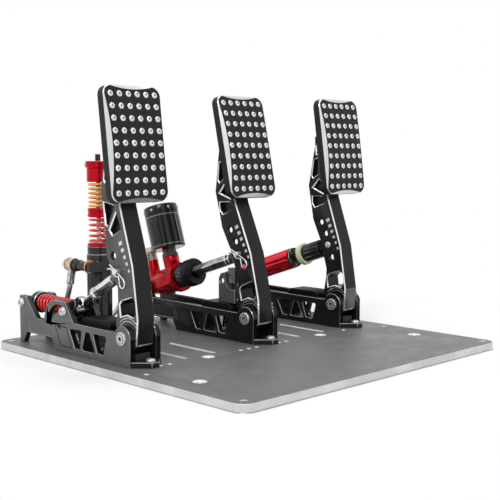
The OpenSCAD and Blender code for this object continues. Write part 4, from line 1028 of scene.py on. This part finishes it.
def column():
    """Body with its port block, gland, collar, cap and threaded stud."""
    body = [(17, 0), (17, 4.2), (16.2, 5), (14, 5), (14, 96.6), (13.6, 97.2), (13.6, 97.9)]
    shape = Shape().add(*capped(lathe(body, 96)), 0, AT_SLAVE)
    low, high = PORT_Z - 5.5, PORT_Z + 5.5
    block = [(-17, low), (-10, low), (-10, high), (-17, high)]
    shape.add(*prism(block, -PORT_X - 5.5, 0, 0.6), 0, AT_SLAVE)
    shape.made("column_body", "slave_body", [GLOSS_BLACK])
    gland = [(2.6, 98.05), (13.5, 98.05), (13.5, 98.6), (13, 99), (13, 106.5), (13.5, 106.8), (13.5, 107.3),
             (12.7, 107.7), (12.7, 110.6), (12.3, 110.9), (2.6, 110.9)]
    shape = turned_ring(gland, 80, AT_SLAVE, [0, 1, 1, 0, 1, 1, 0, 2, 2, 2, 0])
    shape.made("column_gland", "slave_gland", [GLOSS_BLACK, RIM_LINE, RED_ANODISED], sharp=30)
    collar = [(2.6, 140.05), (11.4, 140.05), (12.2, 140.8), (12.2, 143), (11.7, 143.5), (11.7, 146.5),
              (12.2, 147), (12.2, 149.2), (11.4, 149.95), (2.6, 149.95)]
    turned_ring(collar, 80, AT_SLAVE).made("column_collar", "spring_collar", [RED_ANODISED], sharp=30)
    top = CAP_Z + CAP_TALL
    cap = [(6, CAP_Z + 0.05), (11.8, CAP_Z + 0.05), (12.5, CAP_Z + 0.8), (12.5, top - 8.6), (12, top - 8.2),
           (12, top - 7.9), (13.4, top - 7.8), (14, top - 7.2), (14, top - 1.2), (13.2, top - 0.3),
           (2.6, top - 0.3)]
    shape = Shape().add(*capped(lathe(cap, 96)), 0, AT_SLAVE)
    screw_place = AT_SLAVE @ turned("Z", 150) @ moved(13.7, 0, top - 4.2) @ turned("Y", 90)
    shape.add(*socket_screw(1.9, 1.3, 0.9, 0.8), 1, screw_place)
    shape.made("column_cap", "slave_cap", [RED_ANODISED, BOLT])
    turns = np.arange(14)
    ridges = np.stack([np.where(turns % 2, 3.3, 2.8), top + 0.1 + turns * 0.52], 1)
    stud = np.concatenate([ridges, [(2.4, top + 7.5)]])
    shape = Shape().add(*capped(lathe(stud, 32)), 0, AT_SLAVE)
    shape.made("column_stud", "slave_rod", [THREAD], covers=False)


# The rear face of the washer on the side port, as a place along y
PORT_WASHER = SLAVE[1] - 10 + 1.55


def port_finish(normal, middle):
    return 1 if middle.y < PORT_WASHER else 0


column()
skin("slave_rod", [LINK_PAINTED_REFLECTIONS], width=0.4)
skin("slave_port", [GLOSS_BLACK, WASHER], width=0.4, least=25, choose=port_finish, edge=-1)

# Throttle damper
skin("damper_tube", [RED_TUBE], width=0.35, steps=2, sharp=40)
skin("damper_cap", [FRAME_BLACK, SOFT_EDGE], width=0.4)
skin("bumper_ring", [CREAM], width=0.7, steps=3, sharp=50)
skin("adjuster_knob", [GLOSS_BLACK], width=0.35)
holes = Shape()
for k in range(6):
    dimple(holes, AT_DAMPER @ turned("Z", 60 * k + 20) @ moved(9.4, 0, 111.5), 0.9)
holes.made("damper_cap_holes", "damper_cap", [SOFT_EDGE, GLOSS_BLACK], covers=False)


# Floor, world and lamps

# Distances from the plate's middle, in metres: where the floor starts and ends its fade to white,
# and half the square under the plate that its holes show
FADE_START, FADE_END = 0.26, 0.50
UNDER_HALF = 0.197


def seen_directly(tree):
    """One where a ray comes from the camera, a gloss or a clear body, otherwise nought."""
    rays = shader_node(tree, "LightPath").outputs
    found = rays["Is Camera Ray"]
    for other in ("Is Glossy Ray", "Is Transmission Ray"):
        found = maths(tree, "MAXIMUM", found, rays[other])
    return found


def mixed(tree, share, plain, bright, output):
    """Joins a mix of two shaders to the surface of an output node."""
    mix = shader_node(tree, "MixShader")
    tree.links.new(share, mix.inputs["Fac"])
    tree.links.new(plain, mix.inputs[1])
    tree.links.new(bright, mix.inputs[2])
    tree.links.new(mix.outputs["Shader"], tree.nodes[output].inputs["Surface"])


def white_floor():
    """A pale matt floor that keeps the shadow. It is seen as plain white far off and through the
    plate's holes."""
    material = bpy.data.materials.new("floor_white")
    material.use_nodes = True
    tree = material.node_tree
    shader = tree.nodes["Principled BSDF"]
    shader.inputs["Base Color"].default_value = (0.93, 0.93, 0.93, 1)
    shader.inputs["Roughness"].default_value = 0.9
    shader.inputs["Specular IOR Level"].default_value = 0.1
    place = shader_node(tree, "TexCoord").outputs["Object"]
    far = shader_node(tree, "VectorMath")
    far.operation = "LENGTH"
    fade = shader_node(tree, "MapRange", From_Min=FADE_START, From_Max=FADE_END)
    fade.interpolation_type = "SMOOTHSTEP"
    size = shader_node(tree, "VectorMath")
    size.operation = "ABSOLUTE"
    parts = shader_node(tree, "SeparateXYZ")
    tree.links.new(place, far.inputs[0])
    tree.links.new(far.outputs["Value"], fade.inputs["Value"])
    tree.links.new(place, size.inputs[0])
    tree.links.new(size.outputs["Vector"], parts.inputs["Vector"])
    widest = maths(tree, "MAXIMUM", parts.outputs["X"], parts.outputs["Y"])
    under = maths(tree, "LESS_THAN", widest, UNDER_HALF)
    either = maths(tree, "MAXIMUM", fade.outputs["Result"], under)
    share = maths(tree, "MULTIPLY", either, seen_directly(tree))
    white = shader_node(tree, "Emission", Color=(1, 1, 1, 1), Strength=1.0)
    mixed(tree, share, shader.outputs["BSDF"], white.outputs["Emission"], "Material Output")
    return material


floor_mesh.materials.append(white_floor())
world = bpy.data.worlds.new("studio")
bpy.context.scene.world = world
world.use_nodes = True
tree = world.node_tree
background = tree.nodes["Background"]
background.inputs["Color"].default_value = (1, 1, 1, 1)
background.inputs["Strength"].default_value = 0.75
seen = shader_node(tree, "Background", Color=(1, 1, 1, 1), Strength=1.0)
mixed(tree, seen_directly(tree), background.outputs["Background"], seen.outputs["Background"], "World Output")


def lamp(name, place, target, size, power):
    """A round area lamp turned to a target; its size is in metres and its power in watts."""
    light = bpy.data.lights.new(name, "AREA")
    light.shape = "DISK"
    light.size = size
    light.energy = power
    holder = bpy.data.objects.new(name, light)
    holder.location = place
    holder.rotation_euler = (Vector(target) - Vector(place)).to_track_quat("-Z", "Y").to_euler()
    bpy.context.scene.collection.objects.link(holder)


lamp("key", (-1.6, -0.9, 1.7), (0, 0, 0.1), 0.9, 16)
lamp("top", (0.3, 0.2, 2.2), (0, 0, 0.1), 1.4, 12)

bpy.context.scene.view_settings.view_transform = "Standard"
